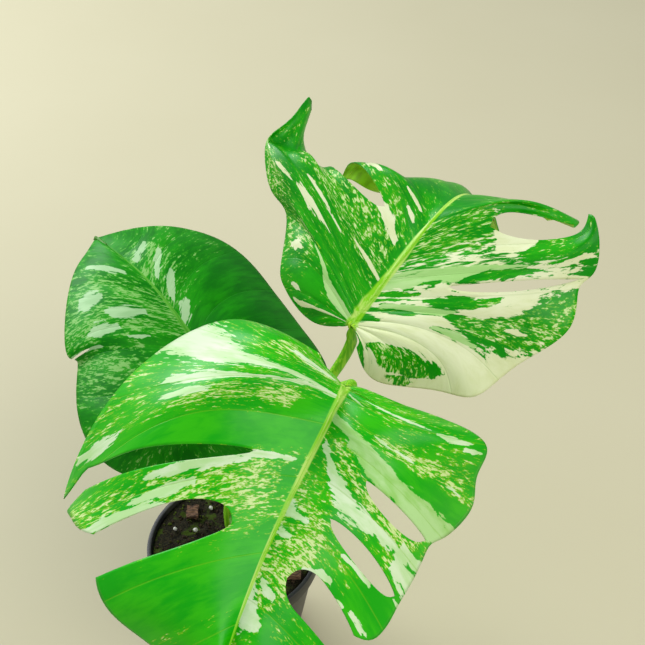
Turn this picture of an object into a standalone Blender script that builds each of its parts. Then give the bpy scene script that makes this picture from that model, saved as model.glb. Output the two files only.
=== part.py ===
"""A young variegated monstera in a 13 cm nursery pot.

Units are metres, +Z is up and the object faces -Y. The origin is the middle of the pot's
base. Every piece is a separate closed solid: the pot, the potting mix, the short stem, three
leaf stalks (petioles), three leaf blades, one aerial root, bark chips and perlite grains.
Pieces that touch on the plant are kept GAP apart.
"""
import bpy
import bmesh
import numpy as np
from math import cos, sin, pi, radians
from mathutils import Vector, Matrix

for ob in list(bpy.data.objects):
    bpy.data.objects.remove(ob, do_unlink=True)

# ---------------------------------------------------------------- sizes
GAP = 0.0003            # clearance between neighbouring pieces

POT_H = 0.108           # height of the pot
POT_R_TOP = 0.0655      # outer radius of the rim
POT_R_BASE = 0.0470     # outer radius of the base
POT_WALL = 0.0016       # thickness of the side wall
POT_FLOOR = 0.0022      # thickness of the base
RIM_H = 0.0120          # height of the band round the rim
RIM_OUT = 0.0014        # how far that band stands proud of the wall
DRAIN_R = 0.0040        # radius of a drain hole
DRAIN_RING = 0.0280     # radius of the circle that the drain holes lie on
DRAIN_COUNT = 4

SOIL_DROP = 0.0035      # the mix ends this far below the rim
SOIL_CROWN = 0.0020     # and rises this much towards the stem
SOIL_BUMP = 0.0006      # height of its lumps

STEM_AT = (0.006, -0.004)
STEM_R = 0.0075
STEM_RISE = 0.0360      # height of the stem's top above the mix
STEM_DEPTH = 0.0350     # how deep it is planted
SHOULDER_H = 0.0120     # height of the swelling under a side stalk
SHOULDER_STEP = 0.0002

STALK_R = 0.0031        # radius of a leaf stalk halfway up
STALK_BASE_R = 0.0052   # radius of its clasping foot
STALK_TIP_R = 0.0013    # radius where it runs into the midrib
KNEE_R = 0.0036         # radius of the knee below the blade

BLADE_T = 0.0012        # thickness of a blade at its margin
RIB_T = 0.0030          # thickness along its midrib
BLADE_ROWS = 7          # rows of faces from midrib to margin
MARGIN_ROW = 0.96       # and one more, so that a closed hole has a strip outside it
FAN_STEPS = 2           # columns between the veins of the fan at the base

ROOT_R = 0.0022         # radius of the aerial root
ROOT_DEPTH = 0.0150

SEGMENTS = 48

# ---------------------------------------------------------------- blades
# A blade is described in its own frame: X to the right, Y along the midrib, Z out of the
# upper face, in hundredths of the blade's length. 'turn' gives heading (degrees from +Y
# towards +X), pitch and roll. Each side is a row of side veins from the base to the tip:
# (share of the midrib where the vein leaves it, points along the vein, margin last).
# A split is a cut between two lobes, at place t in that row. It opens at share s0 of the
# way out and closes again at s1, or runs out through the margin. wa and wb are its half
# widths on the lobe before and after it, fa and fb what they gain towards the margin, and
# hook is what the lobe before it wins back at its tip. round draws in the corners of the
# lobes beside a split (round_a or round_b one of them), and notch draws in the margin
# outside a hole.
FRONT = dict(
    at=(0.080, -0.071, 0.2425), turn=(210, -30, -12), length=0.240,
    midrib=[(0, 0, 0), (0, 33, 2), (-2, 66, 0), (-6, 100, -16)],
    right=[
        (0.00, [(5, -2, 1), (9, -5, 0)]),
        (0.00, [(12, -3, 5), (25, -6, -1)]),
        (0.00, [(18, 1, 8), (40, 1, -4)]),
        (0.03, [(23, 10, 10), (53, 26, -9)]),
        (0.10, [(16.5, 15.5, 7), (36, 27.5, 4), (56.5, 51.5, -24)]),
        (0.24, [(22, 35.5, 6), (47.5, 56, -12)]),
        (0.43, [(15, 54.5, 5), (30, 69, -5)]),
        (0.60, [(3.5, 65.5, 3), (11, 74, -6)]),
        (0.78, [(-4.5, 77, 0), (-2, 88, -10)]),
        (1.00, [(-6, 100, -16), (-6, 100, -16)])],
    left=[
        (0.00, [(-2, -1.5, 0), (-5, -2, -1)]),
        (0.00, [(-8.5, -0.5, 2), (-14.5, -2.5, -2)]),
        (0.00, [(-14, 0.5, 3), (-25, -4, -5)]),
        (0.02, [(-18, 2.5, 4), (-35.5, -3, -8)]),
        (0.04, [(-18, 7, 4), (-36.5, 3.5, -14)]),
        (0.07, [(-18, 10.5, 4), (-38.5, 10, -21)]),
        (0.10, [(-18.5, 14.5, 4), (-36, 19, -21)]),
        (0.20, [(-17, 23.5, 3), (-33, 29, -15)]),
        (0.36, [(-14, 36.5, 3), (-31.5, 46.5, -12)]),
        (0.54, [(-10.5, 55.5, 2), (-23, 61, -8)]),
        (0.76, [(-10, 69.5, 0), (-20, 77.5, -10)]),
        (1.00, [(-6, 100, -16), (-6, 100, -16)])],
    right_splits=[
        dict(t=4.66, s0=0.26, wa=0.08, fa=0.97, wb=0.10, fb=-0.36, power=2.6, hook=0.45,
             round_b=0.09),
        dict(t=5.58, s0=0.25, wa=0.40, fa=-0.10, wb=0.15, blunt=0.5, round_a=0.07, round_b=0.03),
        dict(t=7.40, s0=0.45, wa=0.20, wb=0.20, round=0.05)],
    left_splits=[
        dict(t=6.56, s0=0.41, s1=0.95, wa=0.05, wb=0.34, notch=0.03),
        dict(t=7.62, s0=0.37, s1=0.95, wa=0.06, wb=0.23, notch=0.02),
        dict(t=8.52, s0=0.33, wa=0.25, fa=-0.09, wb=0.21, round=0.08),
        dict(t=9.50, s0=0.60, wa=0.12, wb=0.12, round=0.05)])

RIGHT = dict(
    at=(0.085, -0.010, 0.2355), turn=(45, 38, 10), length=0.200,
    midrib=[(0, 0, 0), (2.5, 24, 3), (3.5, 45, 0), (3, 55, -14), (2, 57, -34), (1, 54, -55)],
    right=[
        (0.00, [(4, -2, 0), (5, -5, -1)]),
        (0.00, [(9, -4, 1), (12, -10, -4)]),
        (0.00, [(16, 0, 2), (21, -8, -5)]),
        (0.00, [(23, 5, 3), (33, -2, -6)]),
        (0.00, [(25, 9, 3), (43, 3, -7)]),
        (0.02, [(26, 14, 3), (48, 17, -7)]),
        (0.05, [(30, 22, 3), (55, 34, -6)]),
        (0.09, [(30, 28, 3), (51, 46, -5)]),
        (0.14, [(30, 37, 3), (52, 54, -4)]),
        (0.20, [(24, 43, 2), (42, 56, 0), (44, 65, 2)]),
        (0.30, [(15, 50, 1), (26, 58, -4), (38, 62, -10)]),
        (0.40, [(17, 56, -1), (26, 62, -6), (34, 66, -20)]),
        (0.60, [(9, 58, -22), (14, 55, -34)]),
        (0.80, [(7, 57, -40), (10, 52, -54)]),
        (1.00, [(1, 54, -55), (1, 54, -55)])],
    left=[
        (0.00, [(-2, -2, 0), (-4, -3, -1)]),
        (0.00, [(-8, -2, 1), (-14, -6, -2)]),
        (0.00, [(-15, 0, 2), (-27, -2, -3)]),
        (0.00, [(-20, 8, 3), (-33, 5, -2)]),
        (0.02, [(-22, 14, 3), (-41, 18, -3)]),
        (0.03, [(-25, 16, 3), (-41, 22, 1), (-50, 22, -2)]),
        (0.04, [(-27, 21, 3), (-48, 28, 2), (-60, 32, -2)]),
        (0.06, [(-26, 23, 3), (-50, 33, 2), (-61, 35, -3), (-63, 39, -6)]),
        (0.08, [(-25, 24, 3), (-50, 34, 1), (-60, 37, -8), (-63, 48, -11)]),
        (0.10, [(-24, 26, 3), (-47, 36, 1), (-55, 38, -8), (-65, 57, -16)]),
        (0.12, [(-22, 26, 3), (-45, 37, 0), (-54, 39, -9), (-63, 53, -20)]),
        (0.14, [(-20, 26, 2), (-41, 37, 0), (-50, 39, -9), (-61, 44, -23)]),
        (0.16, [(-15, 28, 2), (-33, 36, 0), (-43, 38, -10), (-50, 37, -31)]),
        (0.26, [(-9, 40, 1), (-23, 46, -1), (-33, 45, -11), (-36, 40, -17)]),
        (0.34, [(-2, 43, 0), (-12, 48, -3), (-20, 47, -12), (-25, 42, -19)]),
        (0.55, [(-10, 57, -24), (-18, 54, -40)]),
        (0.78, [(-6, 58, -42), (-12, 52, -56)]),
        (1.00, [(1, 54, -55), (1, 54, -55)])],
    right_splits=[
        dict(t=7.50, s0=0.33, s1=0.95, wa=0.36, wb=0.06),
        dict(t=9.50, s0=0.35, wa=0.42, fa=-0.1, wb=0.42, fb=-0.1, blunt=0.3),
        dict(t=11.60, s0=0.42, wa=0.20, wb=1.40)],
    left_splits=[
        dict(t=12.60, s0=0.26, wa=0.42, wb=0.12, blunt=0.6),
        dict(t=14.50, s0=0.60, wa=0.20, wb=0.20)])

BACK = dict(
    at=(-0.001, 0.018, 0.1545), turn=(-35, 20, 0), length=0.190,
    midrib=[(0, 0, 0), (-1, 26, 3), (-4, 52, 3), (-9, 79, -5)],
    right=[
        (0.00, [(1, -7, 1), (6, -15, -1)]),
        (0.00, [(9, -11, 4), (29, -20, -5)]),
        (0.02, [(14, -3, 5), (41, -10, -6)]),
        (0.10, [(18, 11, 5), (42, 9, -6)]),
        (0.24, [(18, 29, 4), (41, 29, -6)]),
        (0.42, [(14, 45, 4), (38, 51, -6)]),
        (0.62, [(9, 59, 3), (26, 67, -5)]),
        (0.82, [(3, 68, 0), (10, 76, -5)]),
        (1.00, [(-9, 79, -5), (-9, 79, -5)])],
    left=[
        (0.00, [(-3, -8, 1), (-3, -17, -1)]),
        (0.00, [(-12, -12, 4), (-5, -27, -4)]),
        (0.00, [(-24, -10, 5), (-36, -19, -6)]),
        (0.02, [(-30, -1, 6), (-50, 1, -7)]),
        (0.08, [(-28, 9, 6), (-46, 22, -7)]),
        (0.18, [(-24, 26, 5), (-39, 35, -7)]),
        (0.30, [(-24, 36, 5), (-41, 40, -5)]),
        (0.50, [(-17, 54, 3), (-28, 63, -5)]),
        (0.74, [(-10, 67, 1), (-16, 74, -5)]),
        (1.00, [(-9, 79, -5), (-9, 79, -5)])],
    right_splits=[],
    left_splits=[dict(t=5.40, s0=0.80, wa=0.08, fa=0.05, wb=0.10, fb=0.02)])

# ---------------------------------------------------------------- small helpers


def material(name, colour, roughness, metallic=0.0):
    mat = bpy.data.materials.new(name)
    mat.use_nodes = True
    bsdf = mat.node_tree.nodes["Principled BSDF"]
    bsdf.inputs["Base Color"].default_value = (*colour, 1.0)
    bsdf.inputs["Roughness"].default_value = roughness
    bsdf.inputs["Metallic"].default_value = metallic
    mat.diffuse_color = (*colour, 1.0)
    return mat


def finish(name, bm, mat, smooth=True, at=(0, 0, 0)):
    """Turn a bmesh, drawn in world coordinates, into a named object whose origin is at."""
    bmesh.ops.translate(bm, verts=bm.verts, vec=-Vector(at))
    bmesh.ops.recalc_face_normals(bm, faces=bm.faces)
    me = bpy.data.meshes.new(name)
    bm.to_mesh(me)
    bm.free()
    me.materials.append(mat)
    ob = bpy.data.objects.new(name, me)
    ob.location = at
    bpy.context.scene.collection.objects.link(ob)
    if smooth:
        for p in me.polygons:
            p.use_smooth = True
    return ob


def lathe(bm, profile, segments=SEGMENTS):
    """Revolve (radius, height) points round Z. A radius of zero is a point on the axis."""
    rings = []
    for r, z in profile:
        if r == 0:
            rings.append([bm.verts.new((0, 0, z))])
        else:
            rings.append([bm.verts.new((r * cos(2 * pi * i / segments),
                                        r * sin(2 * pi * i / segments), z))
                          for i in range(segments)])
    for a, b in zip(rings[:-1], rings[1:]):
        for i in range(segments):
            j = (i + 1) % segments
            quad = [a[i % len(a)], a[j % len(a)], b[j % len(b)], b[i % len(b)]]
            bm.faces.new(dict.fromkeys(quad))


def natural_spline(n, x):
    """Weights of the natural cubic spline through values at 0, 1 .. n-1, at the places x."""
    x = np.atleast_1d(np.asarray(x, float))
    if n == 2:
        return np.stack([1 - x, x], 1)
    a = np.eye(n)
    b = np.zeros((n, n))
    for i in range(1, n - 1):
        a[i, i - 1:i + 2] = 1, 4, 1
        b[i, i - 1:i + 2] = 6, -12, 6
    bend = np.linalg.solve(a, b)
    i = np.clip(np.floor(x).astype(int), 0, n - 2)
    f = (x - i)[:, None]
    eye = np.eye(n)
    return ((1 - f) * eye[i] + f * eye[i + 1]
            + ((1 - f) ** 3 - (1 - f)) / 6 * bend[i] + (f ** 3 - f) / 6 * bend[i + 1])


def curve(points, radii, rings):
    """Evenly spaced places on a smooth curve through the points, and the radius at each."""
    p = np.array(points, float)
    knot = np.append(0, np.cumsum(np.linalg.norm(np.diff(p, axis=0), axis=1)))
    slope = np.gradient(p, knot, axis=0)
    at = np.linspace(0, knot[-1], rings)
    i = np.clip(np.searchsorted(knot, at, side="right") - 1, 0, len(p) - 2)
    h = (knot[i + 1] - knot[i])[:, None]
    f = (at - knot[i])[:, None] / h
    path = (p[i] * (1 + 2 * f) * (1 - f) ** 2 + slope[i] * h * f * (1 - f) ** 2
            + p[i + 1] * f * f * (3 - 2 * f) + slope[i + 1] * h * f * f * (f - 1))
    return path, np.interp(at, knot, radii)


def tube(bm, points, radii, rings, sides=12):
    """A round stalk along a smooth curve through points, its radius going through radii."""
    path, size = curve(points, radii, rings)
    along = np.gradient(path, axis=0)
    side = Vector((1, 0, 0))
    loops = []
    for p, d, r in zip(path, along, size.tolist()):
        d = Vector(d).normalized()
        side = (side - d * side.dot(d)).normalized()
        over = d.cross(side)
        loops.append([bm.verts.new(Vector(p) + r * (cos(a) * side + sin(a) * over))
                      for a in (2 * pi * k / sides for k in range(sides))])
    for a, b in zip(loops[:-1], loops[1:]):
        for k in range(sides):
            bm.faces.new((a[k], a[(k + 1) % sides], b[(k + 1) % sides], b[k]))
    bm.faces.new(loops[0][::-1])
    bm.faces.new(loops[-1])


# ---------------------------------------------------------------- pot
def pot_inner(z):
    """Inner radius of the pot at height z."""
    share = (z - POT_FLOOR) / (POT_H - POT_FLOOR)
    top = POT_R_TOP - RIM_OUT - POT_WALL
    base = POT_R_BASE - POT_WALL
    return base + share * (top - base)


def pot_outer(z):
    share = z / POT_H
    return POT_R_BASE + share * (POT_R_TOP - RIM_OUT - POT_R_BASE)


EDGE = 0.0012           # rounding of the pot's edges
bm = bmesh.new()
lathe(bm, [(0, 0), (POT_R_BASE - EDGE, 0), (pot_outer(EDGE), EDGE),
           (pot_outer(POT_H - RIM_H), POT_H - RIM_H),
           (POT_R_TOP - 0.0003, POT_H - RIM_H + 0.0006),
           (POT_R_TOP, POT_H - RIM_H + 0.0014), (POT_R_TOP, POT_H - EDGE),
           (POT_R_TOP - 0.0006, POT_H - 0.0002), (POT_R_TOP - EDGE, POT_H),
           (pot_inner(POT_H), POT_H),
           (pot_inner(POT_FLOOR), POT_FLOOR), (0, POT_FLOOR)])
pot = finish("pot", bm, material("pot_plastic", (0.035, 0.036, 0.038), 0.5))
pot.data.set_sharp_from_angle(angle=radians(35))
for k in range(DRAIN_COUNT):
    turn = 2 * pi * (k + 0.5) / DRAIN_COUNT
    bm = bmesh.new()
    bmesh.ops.create_cone(bm, cap_ends=True, segments=16, radius1=DRAIN_R, radius2=DRAIN_R,
                          depth=4 * POT_FLOOR,
                          matrix=Matrix.Translation((DRAIN_RING * cos(turn),
                                                     DRAIN_RING * sin(turn), POT_FLOOR / 2)))
    cutter = finish("drain_cutter_%d" % k, bm, pot.data.materials[0])
    cutter.hide_render = True
    cutter.display_type = 'WIRE'
    cut = pot.modifiers.new("drain_%d" % k, 'BOOLEAN')
    cut.operation = 'DIFFERENCE'
    cut.solver = 'EXACT'
    cut.object = cutter

# ---------------------------------------------------------------- potting mix
SOIL_Z = POT_H - SOIL_DROP                    # its surface at the wall
SOIL_R = pot_inner(SOIL_Z) - GAP
CROWN_Z = SOIL_Z + SOIL_CROWN                 # its surface at the stem


def soil_height(x, y):
    r = min(1.0, (x * x + y * y) ** 0.5 / SOIL_R)
    lumps = sin(210 * x + 1.0) * sin(190 * y + 0.6) + 0.6 * sin(330 * x - 250 * y + 2.0)
    return SOIL_Z + SOIL_CROWN * (1 - r * r) + SOIL_BUMP * lumps * (1 - r ** 4)


SOIL_RINGS = 9
bm = bmesh.new()
loops = [[bm.verts.new((0, 0, soil_height(0, 0)))]]
for k in range(1, SOIL_RINGS + 1):
    r = SOIL_R * k / SOIL_RINGS
    loops.append([bm.verts.new((r * cos(a), r * sin(a), soil_height(r * cos(a), r * sin(a))))
                  for a in (2 * pi * i / SEGMENTS for i in range(SEGMENTS))])
SOIL_FLOOR = POT_FLOOR + GAP
r = pot_inner(SOIL_FLOOR) - GAP
loops.append([bm.verts.new((r * cos(2 * pi * i / SEGMENTS), r * sin(2 * pi * i / SEGMENTS),
                            SOIL_FLOOR)) for i in range(SEGMENTS)])
loops.append([bm.verts.new((0, 0, SOIL_FLOOR))])
for a, b in zip(loops[:-1], loops[1:]):
    for i in range(SEGMENTS):
        j = (i + 1) % SEGMENTS
        bm.faces.new(dict.fromkeys([a[i % len(a)], a[j % len(a)],
                                    b[j % len(b)], b[i % len(b)]]))
soil = finish("soil", bm, material("potting_mix", (0.045, 0.03, 0.018), 0.95))
soil.data.set_sharp_from_angle(angle=radians(40))


def socket(name, x, y, radius, depth):
    """Cut the round hole that a planted piece stands in."""
    bm = bmesh.new()
    top = CROWN_Z + 0.01
    bmesh.ops.create_cone(bm, cap_ends=True, segments=24, radius1=radius + GAP,
                          radius2=radius + GAP, depth=top - (SOIL_Z - depth - GAP),
                          matrix=Matrix.Translation((x, y, (top + SOIL_Z - depth - GAP) / 2)))
    cutter = finish(name, bm, soil.data.materials[0])
    cutter.hide_render = True
    cutter.display_type = 'WIRE'
    cut = soil.modifiers.new(name, 'BOOLEAN')
    cut.operation = 'DIFFERENCE'
    cut.solver = 'EXACT'
    cut.object = cutter


# ---------------------------------------------------------------- stem
# A stubby stem with two shoulders, one under each side stalk. The right-hand stalk, the
# youngest, stands on the stem's top.
STEM_X, STEM_Y = STEM_AT
FOOT_OUT = STEM_R + STALK_BASE_R + GAP        # from the stem's axis to a side stalk's axis
STEM_TOP = CROWN_Z + STEM_RISE
NODES = {"front": (radians(-50), CROWN_Z + 0.024), "back": (radians(125), CROWN_Z + 0.015)}


def shoulder(angle, z):
    """How far the stem swells outwards towards an angle at a height."""
    out = 0.0
    for direction, top in NODES.values():
        rise = (z - (top - SHOULDER_H)) / SHOULDER_H
        if 0 <= rise <= 1:
            away = (angle - direction + pi) % (2 * pi) - pi
            out = max(out, 1.7 * STALK_BASE_R * rise ** 1.5 * np.exp(-(away / 0.55) ** 2))
    return out


levels = [SOIL_Z - STEM_DEPTH, CROWN_Z + 0.001]
for direction, top in NODES.values():
    levels += [top - SHOULDER_H * q for q in (1.0, 0.66, 0.33, 0.12, 0)] + [top + SHOULDER_STEP]
levels += [STEM_TOP - 0.003, STEM_TOP]
levels = [z for k, z in enumerate(sorted(levels)) if k == 0 or z - sorted(levels)[k - 1] > 1e-4]
bm = bmesh.new()
SIDES = 24
loops = []
for z in levels:
    loops.append([bm.verts.new((STEM_X + (STEM_R + shoulder(a, z)) * cos(a),
                                STEM_Y + (STEM_R + shoulder(a, z)) * sin(a), z))
                  for a in (2 * pi * i / SIDES for i in range(SIDES))])
for a, b in zip(loops[:-1], loops[1:]):
    for i in range(SIDES):
        bm.faces.new((a[i], a[(i + 1) % SIDES], b[(i + 1) % SIDES], b[i]))
bm.faces.new(loops[0][::-1])
bm.faces.new(loops[-1])
stem = finish("stem", bm, material("stem_skin", (0.20, 0.27, 0.09), 0.5),
              at=(STEM_X, STEM_Y, SOIL_Z))
stem.data.set_sharp_from_angle(angle=radians(50))
socket("stem_socket", STEM_X, STEM_Y, STEM_R, STEM_DEPTH)


# ---------------------------------------------------------------- blades and their stalks
def frame(blade):
    """The blade's attachment point and its X, Y and Z directions, in world coordinates."""
    h, p, r = (radians(v) for v in blade["turn"])
    y = np.array([sin(h) * cos(p), cos(h) * cos(p), sin(p)])
    flat = np.array([cos(h), -sin(h), 0.0])
    up = np.cross(flat, y)
    axes = np.stack([flat * cos(r) - up * sin(r), y, up * cos(r) + flat * sin(r)])
    x, y, z = blade["at"]
    return np.array([x, y, CROWN_Z - SOIL_CROWN + z]), axes


class Side:
    """One half of a blade: a smooth surface over (vein number t, way out s)."""

    def __init__(self, blade, name):
        veins = blade[name]
        mid = np.array(blade["midrib"], float)
        self.sign = 1 if name == "right" else -1
        self.last = len(veins) - 1.0
        self.leave = np.array([v[0] for v in veins], float)
        self.splits = blade[name + "_splits"]
        self.midrib = lambda m: natural_spline(len(mid), np.asarray(m) * (len(mid) - 1)) @ mid
        s = np.linspace(0, 1, 5)[:, None]
        rows = []
        for m, points in veins:
            p = np.vstack([self.midrib(m)[0], np.array(points, float)])
            if len(p) == 3:
                rows.append(p[0] * (1 - s) * (1 - 2 * s) + p[1] * 4 * s * (1 - s)
                            + p[2] * s * (2 * s - 1))
            else:
                rows.append(natural_spline(len(p), s[:, 0] * (len(p) - 1)) @ p)
        self.control = np.array(rows)

    def share(self, t):
        """Where along the midrib the vein numbered t leaves it."""
        return np.interp(t, np.arange(len(self.leave)), self.leave)

    def place(self, m):
        """The vein number at a place on the midrib beyond the fan at the base."""
        first = int((self.leave <= 0).sum()) - 1
        return np.interp(m, self.leave[first:], np.arange(first, len(self.leave)))

    def point(self, t, s):
        t, s = np.broadcast_arrays(t, s)
        shape, t, s = t.shape, t.ravel(), s.ravel()
        wt = natural_spline(len(self.leave), t)
        p = np.einsum("ai,ikd,ak->ad", wt, self.control, natural_spline(5, s * 4))
        off = self.midrib(self.share(t)) - wt @ self.control[:, 0]
        return (p + off * ((1 - s) ** 2)[:, None]).reshape(*shape, 3)


def opening(split, s, which):
    """Half width of a split at s, in vein numbers, on the lobe before (a) or after (b)."""
    wide = split.get("w" + which, 0.0)
    if "s1" in split:
        x = np.clip((s - split["s0"]) / (split["s1"] - split["s0"]), 0, 1)
        return wide * np.sqrt(4 * x * (1 - x))
    x = np.clip((s - split["s0"]) / (1 - split["s0"]), 0, 1)
    blunt = np.clip(x / split.get("blunt", 0.35), 0, 1)
    hook = split.get("hook", 0.0) * np.clip(10 * x - 9, 0, 1) if which == "a" else 0.0
    return wide * np.sqrt(blunt * (2 - blunt)) \
        + split.get("f" + which, 0.0) * x ** split.get("power", 2) - hook


def margin(splits, a, b, t, s, u):
    """How far out the blade reaches, as a share, at t and s on the lobe from split a to b."""
    out = np.ones_like(t)
    for split in splits:
        out -= split.get("notch", 0.0) * np.exp(-((t - split["t"]) / 0.3) ** 2)
    for split, side, key in ((a, 1 - 2 * u, "round_b"), (b, 2 * u - 1, "round_a")):
        beyond = np.clip((s - split["s0"]) / max(1 - split["s0"], 0.1), 0, 1)
        draw = split.get(key, split.get("round", 0.0))
        out -= draw * np.clip(side, 0, 1) ** 4 * beyond ** 3
    return out


def make_blade(name, blade, mat):
    """Both halves are drawn lobe by lobe, joined along the midrib, then thickened."""
    origin, axes = frame(blade)
    halves = [Side(blade, "right"), Side(blade, "left")]
    shares = set()
    for half in halves:
        shares |= set(half.leave) | {float(half.share(sp["t"])) for sp in half.splits}
    shares = sorted(m for m in shares if m > 0)
    shares += [(a + b) / 2 for a, b in zip([0.0] + shares[:-1], shares) if b - a > 0.025]
    bm = bmesh.new()
    layer = bm.verts.layers.deform.verify()
    s = np.sort(np.append(np.linspace(0, 1, BLADE_ROWS + 1), MARGIN_ROW))
    for half in halves:
        fan = int((half.leave <= 0).sum()) - 1
        places = np.unique(np.round(np.concatenate([
            np.linspace(0, fan, fan * FAN_STEPS + 1), half.place(np.array(shares)),
            [sp["t"] for sp in half.splits]]), 6))
        closed = dict(s0=2, s1=3)
        bounds = [dict(closed, t=0.0)] + half.splits + [dict(closed, t=half.last)]
        for a, b in zip(bounds[:-1], bounds[1:]):
            t = places[(places >= a["t"] - 1e-6) & (places <= b["t"] + 1e-6)]
            u = (t - a["t"]) / (b["t"] - a["t"])
            low = a["t"] + opening(a, s, "b")
            high = b["t"] - opening(b, s, "a")
            where = low[:, None] + u[None] * (high - low)[:, None]
            out = s[:, None] * margin(half.splits, a, b, where, s[:, None], u[None])
            grid = half.point(where, out)
            world = origin + grid / 100 * blade["length"] @ axes
            verts = [[bm.verts.new(p) for p in row] for row in world]
            for i, row in enumerate(verts):
                for j, v in enumerate(row):
                    v[layer][0] = BLADE_T / RIB_T if i else 1 - 0.5 * float(half.share(t[j]))
            for i in range(len(s) - 1):
                for j in range(len(t) - 1):
                    quad = (verts[i][j], verts[i + 1][j], verts[i + 1][j + 1], verts[i][j + 1])
                    bm.faces.new(quad if half.sign > 0 else quad[::-1])
    bmesh.ops.remove_doubles(bm, verts=bm.verts, dist=0.00002)
    bmesh.ops.dissolve_degenerate(bm, edges=bm.edges, dist=0.00002)
    bmesh.ops.translate(bm, verts=bm.verts, vec=-Vector(origin))
    me = bpy.data.meshes.new(name)
    bm.to_mesh(me)
    bm.free()
    me.materials.append(mat)
    ob = bpy.data.objects.new(name, me)
    ob.location = origin
    bpy.context.scene.collection.objects.link(ob)
    ob.vertex_groups.new(name="thickness")
    for p in me.polygons:
        p.use_smooth = True
    solid = ob.modifiers.new("thickness", 'SOLIDIFY')
    solid.thickness = RIB_T
    solid.offset = -1
    solid.vertex_group = "thickness"
    return ob


make_blade("leaf_front", FRONT, material("leaf_front_skin", (0.10, 0.36, 0.03), 0.32))
make_blade("leaf_right", RIGHT, material("leaf_right_skin", (0.13, 0.34, 0.05), 0.35))
make_blade("leaf_back", BACK, material("leaf_back_skin", (0.03, 0.17, 0.02), 0.4))


def make_stalk(name, blade, foot, bends, tuck, mat):
    """A leaf stalk from its foot, through its bends, to the end of the blade's midrib, where
    its tip is tucked in under the blade."""
    origin, axes = frame(blade)
    tip = [origin + np.array(p) @ axes for p in
           ((0, -0.0095, -0.0175), (0, -0.0046, -0.0085),
            (0, tuck - GAP - STALK_TIP_R, tuck - RIB_T))]
    points = [foot, np.array(foot) + (0, 0, 0.014)] + list(bends) + tip
    n = len(points)
    radii = [STALK_BASE_R, STALK_BASE_R] + [STALK_R] * (n - 5) + [KNEE_R, KNEE_R * 0.8,
                                                                STALK_TIP_R]
    bm = bmesh.new()
    tube(bm, points, radii, rings=4 * n, sides=10)
    finish(name, bm, mat, at=foot)


def foot_of(node):
    angle, z = NODES[node]
    return (STEM_X + FOOT_OUT * cos(angle), STEM_Y + FOOT_OUT * sin(angle),
            z + SHOULDER_STEP + GAP)


stalk_green = (0.17, 0.38, 0.05)
make_stalk("petiole_front", FRONT, foot_of("front"),
           [(0.024, -0.020, CROWN_Z + 0.075), (0.046, -0.034, CROWN_Z + 0.150),
            (0.073, -0.049, CROWN_Z + 0.215)], 0.0010,
           material("petiole_front_skin", stalk_green, 0.4))
make_stalk("petiole_right", RIGHT, (STEM_X, STEM_Y, STEM_TOP + GAP),
           [(0.029, -0.006, CROWN_Z + 0.095), (0.057, -0.012, CROWN_Z + 0.160)], 0.0006,
           material("petiole_right_skin", stalk_green, 0.4))
make_stalk("petiole_back", BACK, foot_of("back"),
           [(0.002, 0.006, CROWN_Z + 0.075)], 0.0004,
           material("petiole_back_skin", stalk_green, 0.4))

# ---------------------------------------------------------------- aerial root
ROOT_ANGLE = radians(200)
ROOT_FOOT = 0.024                             # how far from the stem it enters the mix
rx, ry = (STEM_X + ROOT_FOOT * cos(ROOT_ANGLE), STEM_Y + ROOT_FOOT * sin(ROOT_ANGLE))
near = STEM_R + GAP + 0.0008
bm = bmesh.new()
tube(bm, [(STEM_X + near * cos(ROOT_ANGLE), STEM_Y + near * sin(ROOT_ANGLE), CROWN_Z + 0.017),
          (STEM_X + 0.6 * ROOT_FOOT * cos(ROOT_ANGLE),
           STEM_Y + 0.6 * ROOT_FOOT * sin(ROOT_ANGLE), CROWN_Z + 0.017),
          (rx, ry, CROWN_Z + 0.008), (rx, ry, SOIL_Z - 0.004),
          (rx, ry, SOIL_Z - ROOT_DEPTH)],
     [ROOT_R * 0.8, ROOT_R, ROOT_R, ROOT_R, ROOT_R * 0.6], rings=18, sides=10)
finish("aerial_root", bm, material("root_bark", (0.24, 0.15, 0.08), 0.8), at=(rx, ry, SOIL_Z))
socket("root_socket", rx, ry, ROOT_R + 0.0006, ROOT_DEPTH)

# ---------------------------------------------------------------- bark and perlite
# Loose pieces that lie on the mix: (x, y, half length, half width, half height, turn).
CHIPS = [(0.044, -0.026, 0.0065, 0.0042, 0.0020, 20), (-0.034, 0.030, 0.0055, 0.0035, 0.0016, 75),
         (-0.010, 0.046, 0.0060, 0.0038, 0.0018, 130), (0.036, 0.028, 0.0050, 0.0036, 0.0015, 50),
         (-0.044, -0.012, 0.0058, 0.0034, 0.0017, 160), (-0.002, -0.044, 0.0052, 0.0036, 0.0015, 10)]
GRAINS = [(-0.030, 0.012, 0.0019), (-0.046, 0.014, 0.0015), (-0.020, 0.034, 0.0017),
          (0.010, 0.038, 0.0016), (0.050, 0.006, 0.0018), (0.022, -0.042, 0.0017),
          (-0.028, -0.034, 0.0019), (0.006, 0.026, 0.0014)]
bark = material("bark", (0.22, 0.10, 0.05), 0.9)
perlite = material("perlite_grain", (0.75, 0.73, 0.68), 0.9)
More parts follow.
